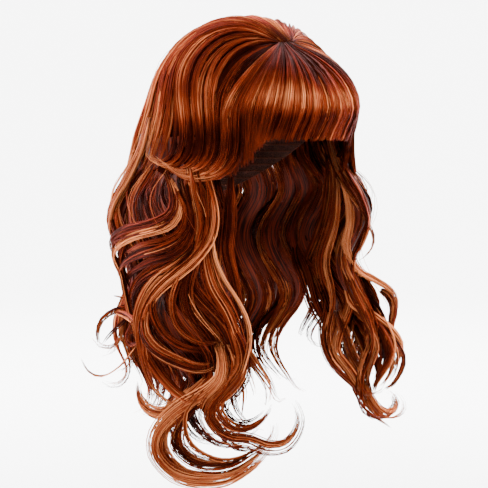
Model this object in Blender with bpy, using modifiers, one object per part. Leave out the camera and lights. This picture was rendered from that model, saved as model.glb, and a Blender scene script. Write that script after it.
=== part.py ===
"""A long wavy beehive wig with a full fringe, as it sits on a head.

Metres, +Z up. The face looks along -Y and the wearer's right is -X. The origin is the
crown of the head, where the inside of the cap rests. A turn is the angle round the head
in degrees, 0 at the face and +90 at the wearer's left ear. A drop is a depth below the
crown of the head.
"""

import math
from collections import namedtuple

import bmesh
import bpy
from mathutils import Vector

# Head that the wig is worn on
HEAD_HALF_WIDTH = 0.076
HEAD_HALF_DEPTH = 0.097
HEAD_HALF_HEIGHT = 0.105

# Cap that the hair is sewn to
CAP_WALL = 0.0015
FOREHEAD_DROP = 0.040
NAPE_DROP = 0.160

# Thickness of the hair over the cap
BEEHIVE_RISE = 0.049
FRINGE_RISE = 0.023
SIDE_VOLUME = 0.036
FRONT_VOLUME = 0.030
BACK_VOLUME = 0.040
WIDEST_DROP = 0.060
HEM_DROP = 0.095
SIDE_FLARE = 0.42
FLARE_TURNS = (60.0, 110.0)
BEEHIVE_TURNS = (62.0, 165.0)

# Parting, a short line across the top of the head where fringe and beehive start
PART_FORWARD = 0.065
PART_HALF_LENGTH = 0.009
PART_SPREAD = 0.38
PART_GAP = 0.0015

# Fringe and the swept temples beside it
FRINGE_HALF_TURN = 62.0
FRINGE_STRAIGHT_TURN = 33.0
BROW_DROP = 0.094
TEMPLE_DROP = 0.132
FRINGE_TUCK = 0.012
FRINGE_EDGE_WALL = 0.006
TEMPLE_HALF_TURN = 92.0
SWEEP_DROP = 0.146
SWEEP_BACK_TURN = 20.0
SWEEP_BACK_RISE = 0.016
SWEEP_FLICK = 0.010
SWEEP_WALL = 0.010
SWEEP_TIP_WALL = 0.004

# Long hair below the hem of the beehive, and the turns where its three parts meet
HAIR_LENGTH = 0.490
HAIR_REACH = 0.150
ROOT_DROP = 0.150
ROOT_WALL = 0.014
FACE_TURN = 66.0
LEFT_MEETING_TURN = 113.0
RIGHT_MEETING_TURN = 243.0
LOCK_WIDTH = 0.036
LOCK_THICKNESS = 0.024
LOCK_ROOT_SWELL = 1.15
LOCK_TIP_SHARE = 0.16
LOCK_TAPER_START = 0.6
LOCK_SETTLE_SHARE = 0.45
WAVE_LENGTH = 0.135
WAVE_DEPTH = 0.011
WAVE_SWING = 0.013
CURL_RADIUS = 0.036

# Clearances between pieces that touch, and how far roots reach into the head before the cut
SEAT_GAP = 0.0014
MEETING_GAP = 0.0004
SEAT_SINK = 0.004

# Fineness of the faceted surfaces
CAP_COLUMNS = 28
CAP_ROWS = 7
BEEHIVE_COLUMNS = 36
FRINGE_COLUMNS = 24
SWEEP_COLUMNS = 6
SWEEP_ROWS = 5
DOME_ROWS = 7
HANG_ROWS = 5
ROOT_ROWS = 4
FRONT_ROOT_COLUMNS = 6
BACK_ROOT_COLUMNS = 14
LOCK_SIDES = 6
LOCK_STEPS = 14
CURL_STEPS = 4

# Broad ridges in the combed surface, in one section each
RIDGE_DEPTH = 0.0022
RIDGE_TURN = 17.4

# One row for each long lock. root, mid and tip are turns; mid_reach and tip_reach are
# shares of HAIR_REACH, length of HAIR_LENGTH, wide of LOCK_WIDTH, curl of CURL_RADIUS.
# swing is a share of WAVE_SWING, start the wave's phase, curl_to the turn that the end
# curls towards and curl_angle how far it curls.
Lock = namedtuple(
    "Lock",
    "root mid tip mid_reach tip_reach length wide swing start curl curl_to curl_angle",
)

RIGHT_LOCKS = (
    Lock(-74, -73, -54, 0.76, 0.84, 0.82, 0.85, 0.8, -0.08, 1.10, 48, 125),
    Lock(-80, -77, -61, 0.83, 0.86, 0.88, 1.00, 0.8, 0.00, 1.15, 50, 115),
    Lock(-87, -82, -69, 0.89, 0.87, 0.92, 1.05, 1.1, -0.12, 1.20, 46, 105),
    Lock(-96, -88, -78, 0.93, 0.88, 0.90, 1.10, 1.0, 0.72, 1.00, 40, 110),
    Lock(-105, -98, -86, 0.96, 0.89, 0.85, 1.05, 1.1, 0.66, 0.80, 30, 100),
    Lock(-113, -108, -97, 0.98, 0.92, 0.78, 0.95, 0.9, 0.62, 0.55, -140, 130),
)

LEFT_LOCKS = (
    Lock(68, 62, 53, 0.82, 0.94, 0.84, 0.85, 1.0, 0.66, 0.50, 62, 150),
    Lock(76, 68, 57, 0.88, 0.98, 0.78, 1.00, 0.9, 0.60, 0.50, 70, 165),
    Lock(86, 77, 61, 0.90, 0.95, 0.74, 1.05, 1.1, 0.72, 0.50, 80, 140),
    Lock(96, 88, 68, 0.88, 0.92, 0.78, 1.05, 1.0, 0.64, 0.60, 50, 120),
    Lock(106, 103, 82, 0.84, 0.84, 0.74, 1.00, 1.0, 0.74, 0.50, 40, 110),
)

BACK_LOCKS = (
    Lock(122, 123, 124, 0.92, 0.84, 0.82, 1.05, 1.0, 0.70, 0.60, 90, 90),
    Lock(138, 139, 140, 0.95, 0.86, 0.88, 1.20, 0.9, 0.64, 0.70, 110, 85),
    Lock(154, 155, 156, 0.97, 0.87, 0.92, 1.25, 1.0, 0.72, 0.60, 200, 90),
    Lock(170, 171, 171, 0.98, 0.88, 0.95, 1.25, 0.8, 0.66, 0.70, 140, 85),
    Lock(186, 187, 187, 0.98, 0.88, 0.96, 1.25, 1.0, 0.74, 0.60, 230, 90),
    Lock(202, 203, 202, 0.98, 0.88, 0.92, 1.25, 0.9, 0.68, 0.70, 170, 85),
    Lock(218, 219, 218, 0.98, 0.90, 0.84, 1.20, 1.0, 0.62, 0.70, 210, 95),
    Lock(233, 232, 230, 0.99, 0.96, 0.72, 1.05, 1.0, 0.63, 0.60, 250, 140),
)

HAIR_HALF_WIDTH = HEAD_HALF_WIDTH + SIDE_VOLUME
HAIR_HALF_DEPTH = HEAD_HALF_DEPTH + (FRONT_VOLUME + BACK_VOLUME) / 2
HAIR_CENTRE_Y = (BACK_VOLUME - FRONT_VOLUME) / 2

HAIR_COLOUR = (0.33, 0.085, 0.022, 1.0)
DEEP_HAIR_COLOUR = (0.16, 0.035, 0.012, 1.0)
CAP_COLOUR = (0.035, 0.015, 0.010, 1.0)


def lerp(a, b, share):
    return a + (b - a) * share


def smooth(value, low, high):
    """0 below low, 1 above high and a smooth step between them."""
    share = min(1.0, max(0.0, (value - low) / (high - low)))
    return share * share * (3 - 2 * share)


def outwards(turn):
    """Level unit vector that leaves the head at this turn."""
    angle = math.radians(turn)
    return Vector((math.sin(angle), -math.cos(angle), 0))


def turn_from_face(turn):
    return abs((turn + 180) % 360 - 180)


def cap_drop(turn):
    """How far below the crown the cap's rim lies at this turn."""
    return lerp(FOREHEAD_DROP, NAPE_DROP, (1 - math.cos(math.radians(turn))) / 2)


def on_head(point, clearance):
    """Where a line to the point from the head's middle, at the hem, leaves the head this far out."""
    eye = Vector((0, 0, -HEM_DROP))
    half = Vector((HEAD_HALF_WIDTH, HEAD_HALF_DEPTH, HEAD_HALF_HEIGHT))
    half += Vector((clearance, clearance, clearance))
    start = eye + Vector((0, 0, HEAD_HALF_HEIGHT))
    ray = point - eye
    o = Vector(start[i] / half[i] for i in range(3))
    d = Vector(ray[i] / half[i] for i in range(3))
    a, b, c = d.dot(d), o.dot(d), o.dot(o) - 1
    return eye + ray * ((math.sqrt(b * b - a * c) - b) / a)


def level_head_reach(turn, drop, clearance):
    """Distance from the head's axis to its surface, this far out, at a turn and drop."""
    height = (drop - HEAD_HALF_HEIGHT) / (HEAD_HALF_HEIGHT + clearance)
    belt = math.sqrt(max(0.05, 1 - height * height))
    way = outwards(turn)
    across = way.x / (HEAD_HALF_WIDTH + clearance)
    along = way.y / (HEAD_HALF_DEPTH + clearance)
    return belt / math.hypot(across, along)


def on_dome(unit, rise):
    """Point of the hair's dome in a direction given on the unit sphere."""
    return Vector(
        (
            HAIR_HALF_WIDTH * unit.x,
            HAIR_CENTRE_Y + HAIR_HALF_DEPTH * unit.y,
            (rise + WIDEST_DROP) * unit.z - WIDEST_DROP,
        )
    )


def part_point(side, back):
    """A point of the parting: side from -1 to 1 along it, back how far behind its middle."""
    x = side * PART_HALF_LENGTH
    y = back - PART_FORWARD
    across = x / HAIR_HALF_WIDTH
    along = (y - HAIR_CENTRE_Y) / HAIR_HALF_DEPTH
    up = math.sqrt(1 - across * across - along * along)
    return Vector((x, y, (FRINGE_RISE + WIDEST_DROP) * up - WIDEST_DROP))


def unit_of(point, rise):
    return Vector(
        (
            point.x / HAIR_HALF_WIDTH,
            (point.y - HAIR_CENTRE_Y) / HAIR_HALF_DEPTH,
            (point.z + WIDEST_DROP) / (rise + WIDEST_DROP),
        )
    )


def rise_at(turn):
    """Height of the dome over the crown, which grows from the fringe to the back."""
    return lerp(FRINGE_RISE, BEEHIVE_RISE, smooth(turn_from_face(turn), *BEEHIVE_TURNS))


def dome_line(start, turn, share):
    """Point of the line that hair follows over the dome, from the parting to the widest level."""
    rise = rise_at(turn)
    first = unit_of(start, rise)
    notch = first.length
    unit = first.normalized().slerp(outwards(turn), share)
    angle = unit.angle(first)
    dip = 1 - (1 - notch) * math.exp(-((angle / PART_SPREAD) ** 2))
    return on_dome(unit * dip, rise)


def side_line(turn, drop, growth):
    """Point of the hair's side below its widest level, where growth moves it outwards."""
    way = outwards(turn)
    size = Vector((HAIR_HALF_WIDTH, HAIR_HALF_DEPTH, 0))
    base = Vector((size.x * way.x, HAIR_CENTRE_Y + size.y * way.y, -drop))
    return base + way * growth


def flare(turn, drop):
    """How far the side hair stands out below its widest level, away from the face."""
    return SIDE_FLARE * (drop - WIDEST_DROP) * smooth(turn_from_face(turn), *FLARE_TURNS)


def side_reach(turn, drop):
    """Distance from the head's axis to the hair's surface at a turn and drop."""
    return (side_line(turn, drop, flare(turn, drop)) + Vector((0, 0, drop))).length


def ridge(turn, share):
    """Height of the broad combed ridges, which fade at the parting."""
    return RIDGE_DEPTH * math.cos(2 * math.pi * turn / RIDGE_TURN) * smooth(share, 0.1, 0.6)


def raised(point, height):
    centre = Vector((0, HAIR_CENTRE_Y, -WIDEST_DROP))
    return point + (point - centre).normalized() * height


def material(name, colour, roughness):
    made = bpy.data.materials.new(name)
    made.use_nodes = True
    shader = made.node_tree.nodes["Principled BSDF"]
    shader.inputs["Base Color"].default_value = colour
    shader.inputs["Roughness"].default_value = roughness
    made.diffuse_color = colour
    return made


def object_of(name, mesh_data, collection, finish=None):
    mesh = bpy.data.meshes.new(name)
    mesh_data.to_mesh(mesh)
    mesh_data.free()
    made = bpy.data.objects.new(name, mesh)
    collection.objects.link(made)
    if finish is not None:
        mesh.materials.append(finish)
        mesh.shade_smooth()
        mesh.set_sharp_from_angle(angle=math.radians(50))
    return made


def wall_between(outer, inner):
    """Closed wall from two grids of points, as a bmesh."""
    made = bmesh.new()
    skins = [[[made.verts.new(p) for p in line] for line in grid] for grid in (outer, inner)]
    columns, rows = len(outer), len(outer[0])
    for skin in skins:
        for i in range(columns - 1):
            for j in range(rows - 1):
                made.faces.new((skin[i][j], skin[i + 1][j], skin[i + 1][j + 1], skin[i][j + 1]))
    edge = [(i, 0) for i in range(columns)]
    edge += [(columns - 1, j) for j in range(1, rows)]
    edge += [(i, rows - 1) for i in range(columns - 2, -1, -1)]
    edge += [(0, j) for j in range(rows - 2, 0, -1)]
    for (i, j), (k, m) in zip(edge, edge[1:] + edge[:1]):
        made.faces.new((skins[0][i][j], skins[0][k][m], skins[1][k][m], skins[1][i][j]))
    bmesh.ops.triangulate(made, faces=made.faces)
    bmesh.ops.recalc_face_normals(made, faces=made.faces)
    return made


def lock_line(lock):
    """Points down the middle of a long lock, and the share of its length at each."""
    root_reach = side_reach(lock.root, HEM_DROP) - LOCK_THICKNESS / 2
    start_drop = HEM_DROP - LOCK_THICKNESS / 2
    end_drop = HAIR_LENGTH * lock.length
    points = []
    for step in range(LOCK_STEPS + 1):
        share = step / LOCK_STEPS
        drop = lerp(start_drop, end_drop, share)
        if share < LOCK_SETTLE_SHARE:
            near = math.sin(math.pi / 2 * share / LOCK_SETTLE_SHARE)
            turn = lerp(lock.root, lock.mid, near)
            reach = lerp(root_reach, HAIR_REACH * lock.mid_reach, near)
        else:
            far = smooth(share, LOCK_SETTLE_SHARE, 1)
            turn = lerp(lock.mid, lock.tip, far)
            reach = HAIR_REACH * lerp(lock.mid_reach, lock.tip_reach, far)
        wave = 2 * math.pi * (drop / WAVE_LENGTH + lock.start)
        growth = smooth(share, 0, 0.3)
        reach += WAVE_DEPTH * growth * math.cos(wave)
        sideways = WAVE_SWING * lock.swing * growth * math.sin(wave)
        way = outwards(turn)
        beside = outwards(turn + 90)
        points.append(way * reach + beside * sideways + Vector((0, 0, -drop)))
    radius = CURL_RADIUS * lock.curl
    down = (points[-1] - points[-2]).normalized()
    aside = outwards(lock.curl_to)
    aside = (aside - down * aside.dot(down)).normalized()
    end = points[-1]
    for step in range(1, CURL_STEPS + 1):
        angle = math.radians(lock.curl_angle) * step / CURL_STEPS
        points.append(end + radius * (down * math.sin(angle) + aside * (1 - math.cos(angle))))
    return points


def lock_mesh(lock, grow=0.0):
    """A flattened tapering tube along a lock's line, grown outwards by a clearance."""
    points = lock_line(lock)
    lengths = [0.0]
    for a, b in zip(points, points[1:]):
        lengths.append(lengths[-1] + (b - a).length)
    made = bmesh.new()
    rings = []
    out = outwards(lock.root)
    for i, point in enumerate(points):
        before = points[max(0, i - 1)]
        after = points[min(len(points) - 1, i + 1)]
        along = (after - before).normalized()
        out = (out - along * out.dot(along)).normalized()
        beside = along.cross(out)
        share = lengths[i] / lengths[-1]
        swell = lerp(LOCK_ROOT_SWELL, 1.0, smooth(share, 0, 0.2))
        size = swell * lerp(1.0, LOCK_TIP_SHARE, smooth(share, LOCK_TAPER_START, 1.0))
        half_width = LOCK_WIDTH * lock.wide * size / 2 + grow
        half_depth = LOCK_THICKNESS * size / 2 + grow
        ring = []
        for k in range(LOCK_SIDES):
            angle = 2 * math.pi * k / LOCK_SIDES
            ring.append(
                made.verts.new(
                    point
                    + beside * (half_width * math.cos(angle))
                    + out * (half_depth * math.sin(angle))
                )
            )
        rings.append(ring)
    for ring, following in zip(rings, rings[1:]):
        for k in range(LOCK_SIDES):
            m = (k + 1) % LOCK_SIDES
            made.faces.new((ring[k], ring[m], following[m], following[k]))
    made.faces.new(reversed(rings[0]))
    made.faces.new(rings[-1])
    bmesh.ops.triangulate(made, faces=made.faces)
    bmesh.ops.recalc_face_normals(made, faces=made.faces)
    return made


def root_wall(first_turn, last_turn, columns):
    """Teased roots between the cap and the long locks, which thin out towards the nape."""
    outer, inner = [], []
    clearance = CAP_WALL + SEAT_GAP
    for i in range(columns + 1):
        turn = lerp(first_turn, last_turn, i / columns)
        line_out, line_in = [], []
        for j in range(ROOT_ROWS + 1):
            share = j / ROOT_ROWS
            drop = lerp(HEM_DROP - LOCK_THICKNESS / 2, ROOT_DROP, share)
            head = level_head_reach(turn, drop, clearance)
            surface = side_reach(turn, drop) - LOCK_THICKNESS / 2
            level = Vector((0, 0, -drop))
            line_out.append(outwards(turn) * lerp(surface, head + ROOT_WALL, share) + level)
            line_in.append(outwards(turn) * (head - SEAT_SINK) + level)
        outer.append(line_out)
        inner.append(line_in)
    return wall_between(outer, inner)


def head_block():
    """The head and cap, this far out, as a solid that hair is cut back to."""
    made = bmesh.new()
    bmesh.ops.create_uvsphere(made, u_segments=CAP_COLUMNS, v_segments=2 * CAP_ROWS, radius=1)
    clearance = CAP_WALL + SEAT_GAP
    for vert in made.verts:
        vert.co.x *= HEAD_HALF_WIDTH + clearance
        vert.co.y *= HEAD_HALF_DEPTH + clearance
        vert.co.z = vert.co.z * (HEAD_HALF_HEIGHT + clearance) - HEAD_HALF_HEIGHT
    return made


def hem_block():
    """Everything above the hem of the beehive."""
    made = bmesh.new()
    bmesh.ops.create_cube(made, size=1)
    side = 3 * HAIR_REACH
    height = HEM_DROP + BEEHIVE_RISE
    for vert in made.verts:
        vert.co.x *= side
        vert.co.y *= side
        vert.co.z = vert.co.z * height + height / 2 - HEM_DROP - MEETING_GAP
    return made


def fringe_wall(grow):
    """Full rounded fringe from the parting to the brow, grown outwards by a clearance."""
    outer, inner = [], []
    half_turn = FRINGE_HALF_TURN + math.degrees(grow / HAIR_HALF_WIDTH)
    for i in range(FRINGE_COLUMNS + 1):
        turn = lerp(-half_turn, half_turn, i / FRINGE_COLUMNS)
        start = part_point(turn / half_turn, -PART_GAP / 2)
        edge_drop = lerp(
            BROW_DROP, TEMPLE_DROP, smooth(abs(turn), FRINGE_STRAIGHT_TURN, FRINGE_HALF_TURN)
        )
        line_out, line_in = [], []
        for j in range(DOME_ROWS + HANG_ROWS + 1):
            if j <= DOME_ROWS:
                share = j / DOME_ROWS
                height = ridge(turn, share) + grow
                point = raised(dome_line(start, turn, share), height)
            else:
                hang = (j - DOME_ROWS) / HANG_ROWS
                drop = lerp(WIDEST_DROP, edge_drop + grow, hang)
                growth = ridge(turn, 1) + grow - FRINGE_TUCK * hang * hang
                point = side_line(turn, drop, growth)
            under = on_head(point, CAP_WALL + SEAT_GAP)
            depth = (under - point).length
            free = smooth(-point.z, FOREHEAD_DROP / 2, edge_drop)
            wall = lerp(depth, FRINGE_EDGE_WALL + 2 * grow, free)
            line_out.append(point)
            line_in.append(point + (under - point) * (wall / depth))
        outer.append(line_out)
        inner.append(line_in)
    return wall_between(outer, inner)


def sweep_wall(side, grow):
    """Temple hair swept back over the ear on one side, grown outwards by a clearance."""
    first = FRINGE_HALF_TURN + math.degrees(PART_GAP / HAIR_HALF_WIDTH)
    outer, inner = [], []
    extra = math.degrees(grow / HAIR_HALF_WIDTH)
    for i in range(SWEEP_COLUMNS + 1):
        across = i / SWEEP_COLUMNS
        turn = lerp(first - extra, TEMPLE_HALF_TURN + extra, across)
        start = part_point(side, lerp(0, PART_GAP / 2, across))
        line_out, line_in = [], []
        for j in range(DOME_ROWS + 1):
            point = dome_line(start, side * turn, j / DOME_ROWS)
            line_out.append(raised(point, grow))
            line_in.append(on_head(point, CAP_WALL + SEAT_GAP))
        for drop in (0.5 * (WIDEST_DROP + HEM_DROP), HEM_DROP):
            point = side_line(side * turn, drop, flare(turn, drop) + grow)
            line_out.append(point)
            line_in.append(on_head(point, CAP_WALL + SEAT_GAP))
        for j in range(SWEEP_ROWS + 1):
            share = j / SWEEP_ROWS
            lowest = SWEEP_DROP - SWEEP_BACK_RISE * across
            drop = lerp(HEM_DROP + SWEEP_TIP_WALL / 2, lowest, share)
            swept = turn + SWEEP_BACK_TURN * share * share * (1 - 0.5 * across)
            growth = flare(turn, HEM_DROP) + SWEEP_FLICK * share * share
            wall = lerp(SWEEP_WALL, SWEEP_TIP_WALL, share)
            lower = grow if j == SWEEP_ROWS else 0
            line_out.append(side_line(side * swept, drop + lower, growth + grow))
            line_in.append(side_line(side * swept, drop + lower, growth - wall - grow))
        outer.append(line_out)
        inner.append(line_in)
    return wall_between(outer, inner)


def cut_or_join(target, tool, operation):
    modifier = target.modifiers.new(f"{operation.lower()} {tool.name}", "BOOLEAN")
    modifier.object = tool
    modifier.operation = operation
    modifier.solver = "EXACT"


def hidden(name, mesh_data, collection):
    made = object_of(name, mesh_data, collection)
    made.hide_render = True
    made.display_type = "WIRE"
    return made


def lock_group(name, locks, first_turn, last_turn, columns, blocks, parts, tools, finish):
    """Long locks fused to their band of roots, cut back to the pieces that they meet."""
    group = object_of(name, root_wall(first_turn, last_turn, columns), parts, finish)
    for number, lock in enumerate(locks, start=1):
        strand = hidden(f"{name}_lock_{number}", lock_mesh(lock), tools)
        cut_or_join(group, strand, "UNION")
    for block in blocks:
        cut_or_join(group, block, "DIFFERENCE")
    return group


def build_cap(parts, finish):
    made = bmesh.new()
    pole = made.verts.new((0, 0, 0))
    columns = []
    for i in range(CAP_COLUMNS):
        turn = 360 * i / CAP_COLUMNS
        rim_angle = math.acos(1 - cap_drop(turn) / HEAD_HALF_HEIGHT)
        column = []
        for j in range(1, CAP_ROWS + 1):
            angle = rim_angle * j / CAP_ROWS
            way = outwards(turn) * math.sin(angle)
            column.append(
                made.verts.new(
                    (
                        HEAD_HALF_WIDTH * way.x,
                        HEAD_HALF_DEPTH * way.y,
                        HEAD_HALF_HEIGHT * (math.cos(angle) - 1),
                    )
                )
            )
        columns.append(column)
    for column, beside in zip(columns, columns[1:] + columns[:1]):
        made.faces.new((pole, column[0], beside[0]))
        for j in range(CAP_ROWS - 1):
            made.faces.new((column[j], column[j + 1], beside[j + 1], beside[j]))
    bmesh.ops.recalc_face_normals(made, faces=made.faces)
    cap = object_of("cap", made, parts, finish)
    shell = cap.modifiers.new("cap wall", "SOLIDIFY")
    shell.thickness = CAP_WALL
    shell.offset = 1
    return cap


def build_beehive(parts, finish):
    """Mound of teased hair over the cap, behind the parting and above the hem."""
    outer, inner = [], []
    gap = math.degrees(PART_GAP / HAIR_HALF_WIDTH)
    first, last = TEMPLE_HALF_TURN + gap, 360 - TEMPLE_HALF_TURN - gap
    for i in range(BEEHIVE_COLUMNS + 1):
        turn = lerp(first, last, i / BEEHIVE_COLUMNS)
        side = lerp(1, -1, i / BEEHIVE_COLUMNS)
        start = part_point(side, PART_GAP)
        line = []
        for j in range(DOME_ROWS + 1):
            share = j / DOME_ROWS
            point = dome_line(start, turn, share)
            line.append(raised(point, ridge(turn, share)))
        for share in (0.5, 1.0):
            drop = lerp(WIDEST_DROP, HEM_DROP, share)
            growth = flare(turn, drop) + ridge(turn, 1)
            line.append(side_line(turn, drop, growth))
        outer.append(line)
        inner.append([on_head(point, CAP_WALL + SEAT_GAP) for point in line])
    return object_of("beehive", wall_between(outer, inner), parts, finish)


def collection_named(name):
    made = bpy.data.collections.new(name)
    bpy.context.scene.collection.children.link(made)
    return made


def main():
    for old in list(bpy.data.objects):
        bpy.data.objects.remove(old)
    parts = collection_named("beehive_wig")
    tools = collection_named("cutters_and_locks")
    tools.hide_render = True

    hair = material("auburn_hair", HAIR_COLOUR, 0.42)
    deep_hair = material("deep_auburn_hair", DEEP_HAIR_COLOUR, 0.5)
    net = material("cap_net", CAP_COLOUR, 0.8)

    build_cap(parts, net)
    build_beehive(parts, hair)
    object_of("fringe", fringe_wall(0), parts, hair)
    object_of("temple_sweep_right", sweep_wall(-1, 0), parts, hair)
    object_of("temple_sweep_left", sweep_wall(1, 0), parts, hair)

    head = hidden("head_block", head_block(), tools)
    hem = hidden("hem_block", hem_block(), tools)
    right_sweep = hidden("right_sweep_block", sweep_wall(-1, MEETING_GAP), tools)
    left_sweep = hidden("left_sweep_block", sweep_wall(1, MEETING_GAP), tools)
    front = hidden("fringe_block", fringe_wall(MEETING_GAP), tools)

    gap = math.degrees(MEETING_GAP / HEAD_HALF_WIDTH)
    lock_group(
        "front_locks_right", RIGHT_LOCKS,
        RIGHT_MEETING_TURN - 360 + gap, -FACE_TURN, FRONT_ROOT_COLUMNS,
        (head, hem, front, right_sweep), parts, tools, deep_hair,
    )
    lock_group(
        "front_locks_left", LEFT_LOCKS,
        FACE_TURN, LEFT_MEETING_TURN - gap, FRONT_ROOT_COLUMNS,
        (head, hem, front, left_sweep), parts, tools, deep_hair,
    )
    beside_right = hidden("right_lock_block", lock_mesh(RIGHT_LOCKS[-1], MEETING_GAP), tools)
    beside_left = hidden("left_lock_block", lock_mesh(LEFT_LOCKS[-1], MEETING_GAP), tools)
    lock_group(
        "back_locks", BACK_LOCKS,
        LEFT_MEETING_TURN + gap, RIGHT_MEETING_TURN - gap, BACK_ROOT_COLUMNS,
        (head, hem, beside_right, beside_left), parts, tools, deep_hair,
    )


main()
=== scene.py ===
"""A beehive wig: a net cap, and auburn hair combed from a short parting into a teased mound, a
full fringe, swept temples and long waved locks.

Metres, +Z up. The face looks along -Y and the wearer's right is -X. The origin is the crown of
the head, inside the cap. A turn is the angle round the head in degrees, 0 at the face and +90
at the wearer's left ear, and a drop is a depth below the crown.
"""

import math
import random
from collections import namedtuple

import bmesh
import bpy
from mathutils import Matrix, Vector
from mathutils.bvhtree import BVHTree


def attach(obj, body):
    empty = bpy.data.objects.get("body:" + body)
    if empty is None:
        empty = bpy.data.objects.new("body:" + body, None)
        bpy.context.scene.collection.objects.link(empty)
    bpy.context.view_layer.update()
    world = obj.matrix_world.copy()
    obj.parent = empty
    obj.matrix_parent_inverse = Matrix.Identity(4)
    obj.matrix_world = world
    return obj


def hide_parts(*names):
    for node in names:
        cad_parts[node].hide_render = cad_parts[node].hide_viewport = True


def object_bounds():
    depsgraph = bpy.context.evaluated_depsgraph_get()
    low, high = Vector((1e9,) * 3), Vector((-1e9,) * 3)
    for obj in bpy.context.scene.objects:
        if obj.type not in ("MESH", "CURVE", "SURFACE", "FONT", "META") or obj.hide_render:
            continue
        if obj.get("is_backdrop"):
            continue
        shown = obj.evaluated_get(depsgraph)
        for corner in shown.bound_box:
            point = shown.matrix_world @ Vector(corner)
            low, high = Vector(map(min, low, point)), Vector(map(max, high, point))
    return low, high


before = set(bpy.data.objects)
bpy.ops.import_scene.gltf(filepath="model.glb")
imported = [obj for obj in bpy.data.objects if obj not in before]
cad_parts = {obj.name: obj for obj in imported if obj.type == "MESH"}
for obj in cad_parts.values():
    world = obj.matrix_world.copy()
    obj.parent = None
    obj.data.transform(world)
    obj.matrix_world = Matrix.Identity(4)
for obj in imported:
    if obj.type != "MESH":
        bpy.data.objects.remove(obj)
cad_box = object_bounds()


# The cap is a fine dark net, cut to the head, with rows of machine-sewn weft round it. Only its
# inside and its rim show, from below and through the open face.
WEFT_PITCH = 0.008
NET_PITCH = 0.0024
NET_THREAD = (0.042, 0.013, 0.008, 1)
NET_HOLE = (0.018, 0.006, 0.004, 1)
WEFT_COLOUR = (0.050, 0.012, 0.006, 1)


def put(tree, kind, inputs=None, **settings):
    """Adds a node, with its settings and the values or links of its inputs."""
    made = tree.nodes.new(kind)
    for name, value in settings.items():
        setattr(made, name, value)
    for name, value in (inputs or {}).items():
        if isinstance(name, int):
            socket = made.inputs[name]
        else:
            socket = next(s for s in made.inputs if s.name == name and s.enabled)
        if isinstance(value, bpy.types.NodeSocket):
            tree.links.new(value, socket)
        else:
            socket.default_value = value
    return made


def calc(tree, operation, *values, clamp=False):
    made = put(tree, "ShaderNodeMath", dict(enumerate(values)), operation=operation)
    made.use_clamp = clamp
    return made.outputs[0]


def ranged(tree, value, low, high, first=0.0, last=1.0, **settings):
    """The value moved from one range to another and held inside it."""
    return put(
        tree,
        "ShaderNodeMapRange",
        {"Value": value, "From Min": low, "From Max": high, "To Min": first, "To Max": last},
        **settings,
    ).outputs["Result"]


def eased(tree, value, low, high, first, last):
    return ranged(tree, value, low, high, first, last, interpolation_type="SMOOTHSTEP")


def mixed(tree, factor, a, b):
    return put(
        tree, "ShaderNodeMix", {"Factor": factor, "A": a, "B": b}, data_type="RGBA"
    ).outputs["Result"]


def linked(name, data):
    """A new object of this data in the scene."""
    made = bpy.data.objects.new(name, data)
    bpy.context.scene.collection.objects.link(made)
    return made


def blank_material(name):
    made = bpy.data.materials.new(name)
    made.use_nodes = True
    return made, made.node_tree, made.node_tree.nodes["Principled BSDF"]


def net_finish():
    made, tree, shader = blank_material("cap net")
    place = put(tree, "ShaderNodeTexCoord").outputs["Object"]
    height = put(tree, "ShaderNodeSeparateXYZ", {"Vector": place}).outputs["Z"]
    net = put(tree, "ShaderNodeTexVoronoi", {"Vector": place, "Scale": 1 / NET_PITCH})
    net.feature = "DISTANCE_TO_EDGE"
    thread = ranged(tree, net.outputs["Distance"], 0.08, 0.2, 1, 0)
    row = calc(tree, "SINE", calc(tree, "MULTIPLY", height, 2 * math.pi / WEFT_PITCH))
    weft = ranged(tree, row, 0.55, 0.85)
    netting = mixed(tree, thread, NET_HOLE, NET_THREAD)
    tree.links.new(mixed(tree, weft, netting, WEFT_COLOUR), shader.inputs["Base Color"])
    relief = calc(tree, "ADD", thread, calc(tree, "MULTIPLY", weft, 2.5))
    bump = put(tree, "ShaderNodeBump", {"Height": relief, "Strength": 0.8, "Distance": 0.0005})
    tree.links.new(bump.outputs["Normal"], shader.inputs["Normal"])
    shader.inputs["Roughness"].default_value = 0.75
    shader.inputs["Specular IOR Level"].default_value = 0.1
    return made


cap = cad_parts["cap"]
cap.data.materials.clear()
cap.data.materials.append(net_finish())


# The beehive is a mound of teased hair pinned up behind the parting, with long smooth hair combed
# back over it. Each lock of that hair runs from the parting over the mound and on down the back.
HEAD_HALF_WIDTH = 0.076
HEAD_HALF_DEPTH = 0.097
BEEHIVE_RISE = 0.049
SIDE_VOLUME = 0.036
FRONT_VOLUME = 0.030
BACK_VOLUME = 0.040
WIDEST_DROP = 0.060
HEM_DROP = 0.095
SIDE_FLARE = 0.42
FLARE_TURNS = (60.0, 110.0)
PART_FORWARD = 0.057
PART_ASIDE = 0.009
PART_HALF_LENGTH = 0.009
PART_HEIGHT = 0.010
TEMPLE_HALF_TURN = 92.0
MOUND_LOCK_TURN = 17.0
MOUND_OVERLAP = 0.74

HAIR_HALF_WIDTH = HEAD_HALF_WIDTH + SIDE_VOLUME
HAIR_HALF_DEPTH = HEAD_HALF_DEPTH + (FRONT_VOLUME + BACK_VOLUME) / 2
HAIR_CENTRE_Y = (BACK_VOLUME - FRONT_VOLUME) / 2

HAIR_LENGTH = 0.490
HAIR_REACH = 0.150
LOCK_WIDTH = 0.036
LOCK_THICKNESS = 0.024
LOCK_SETTLE_SHARE = 0.45
WAVE_LENGTH = 0.135
WAVE_DEPTH = 0.011
WAVE_SWING = 0.013
CURL_RADIUS = 0.036

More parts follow.
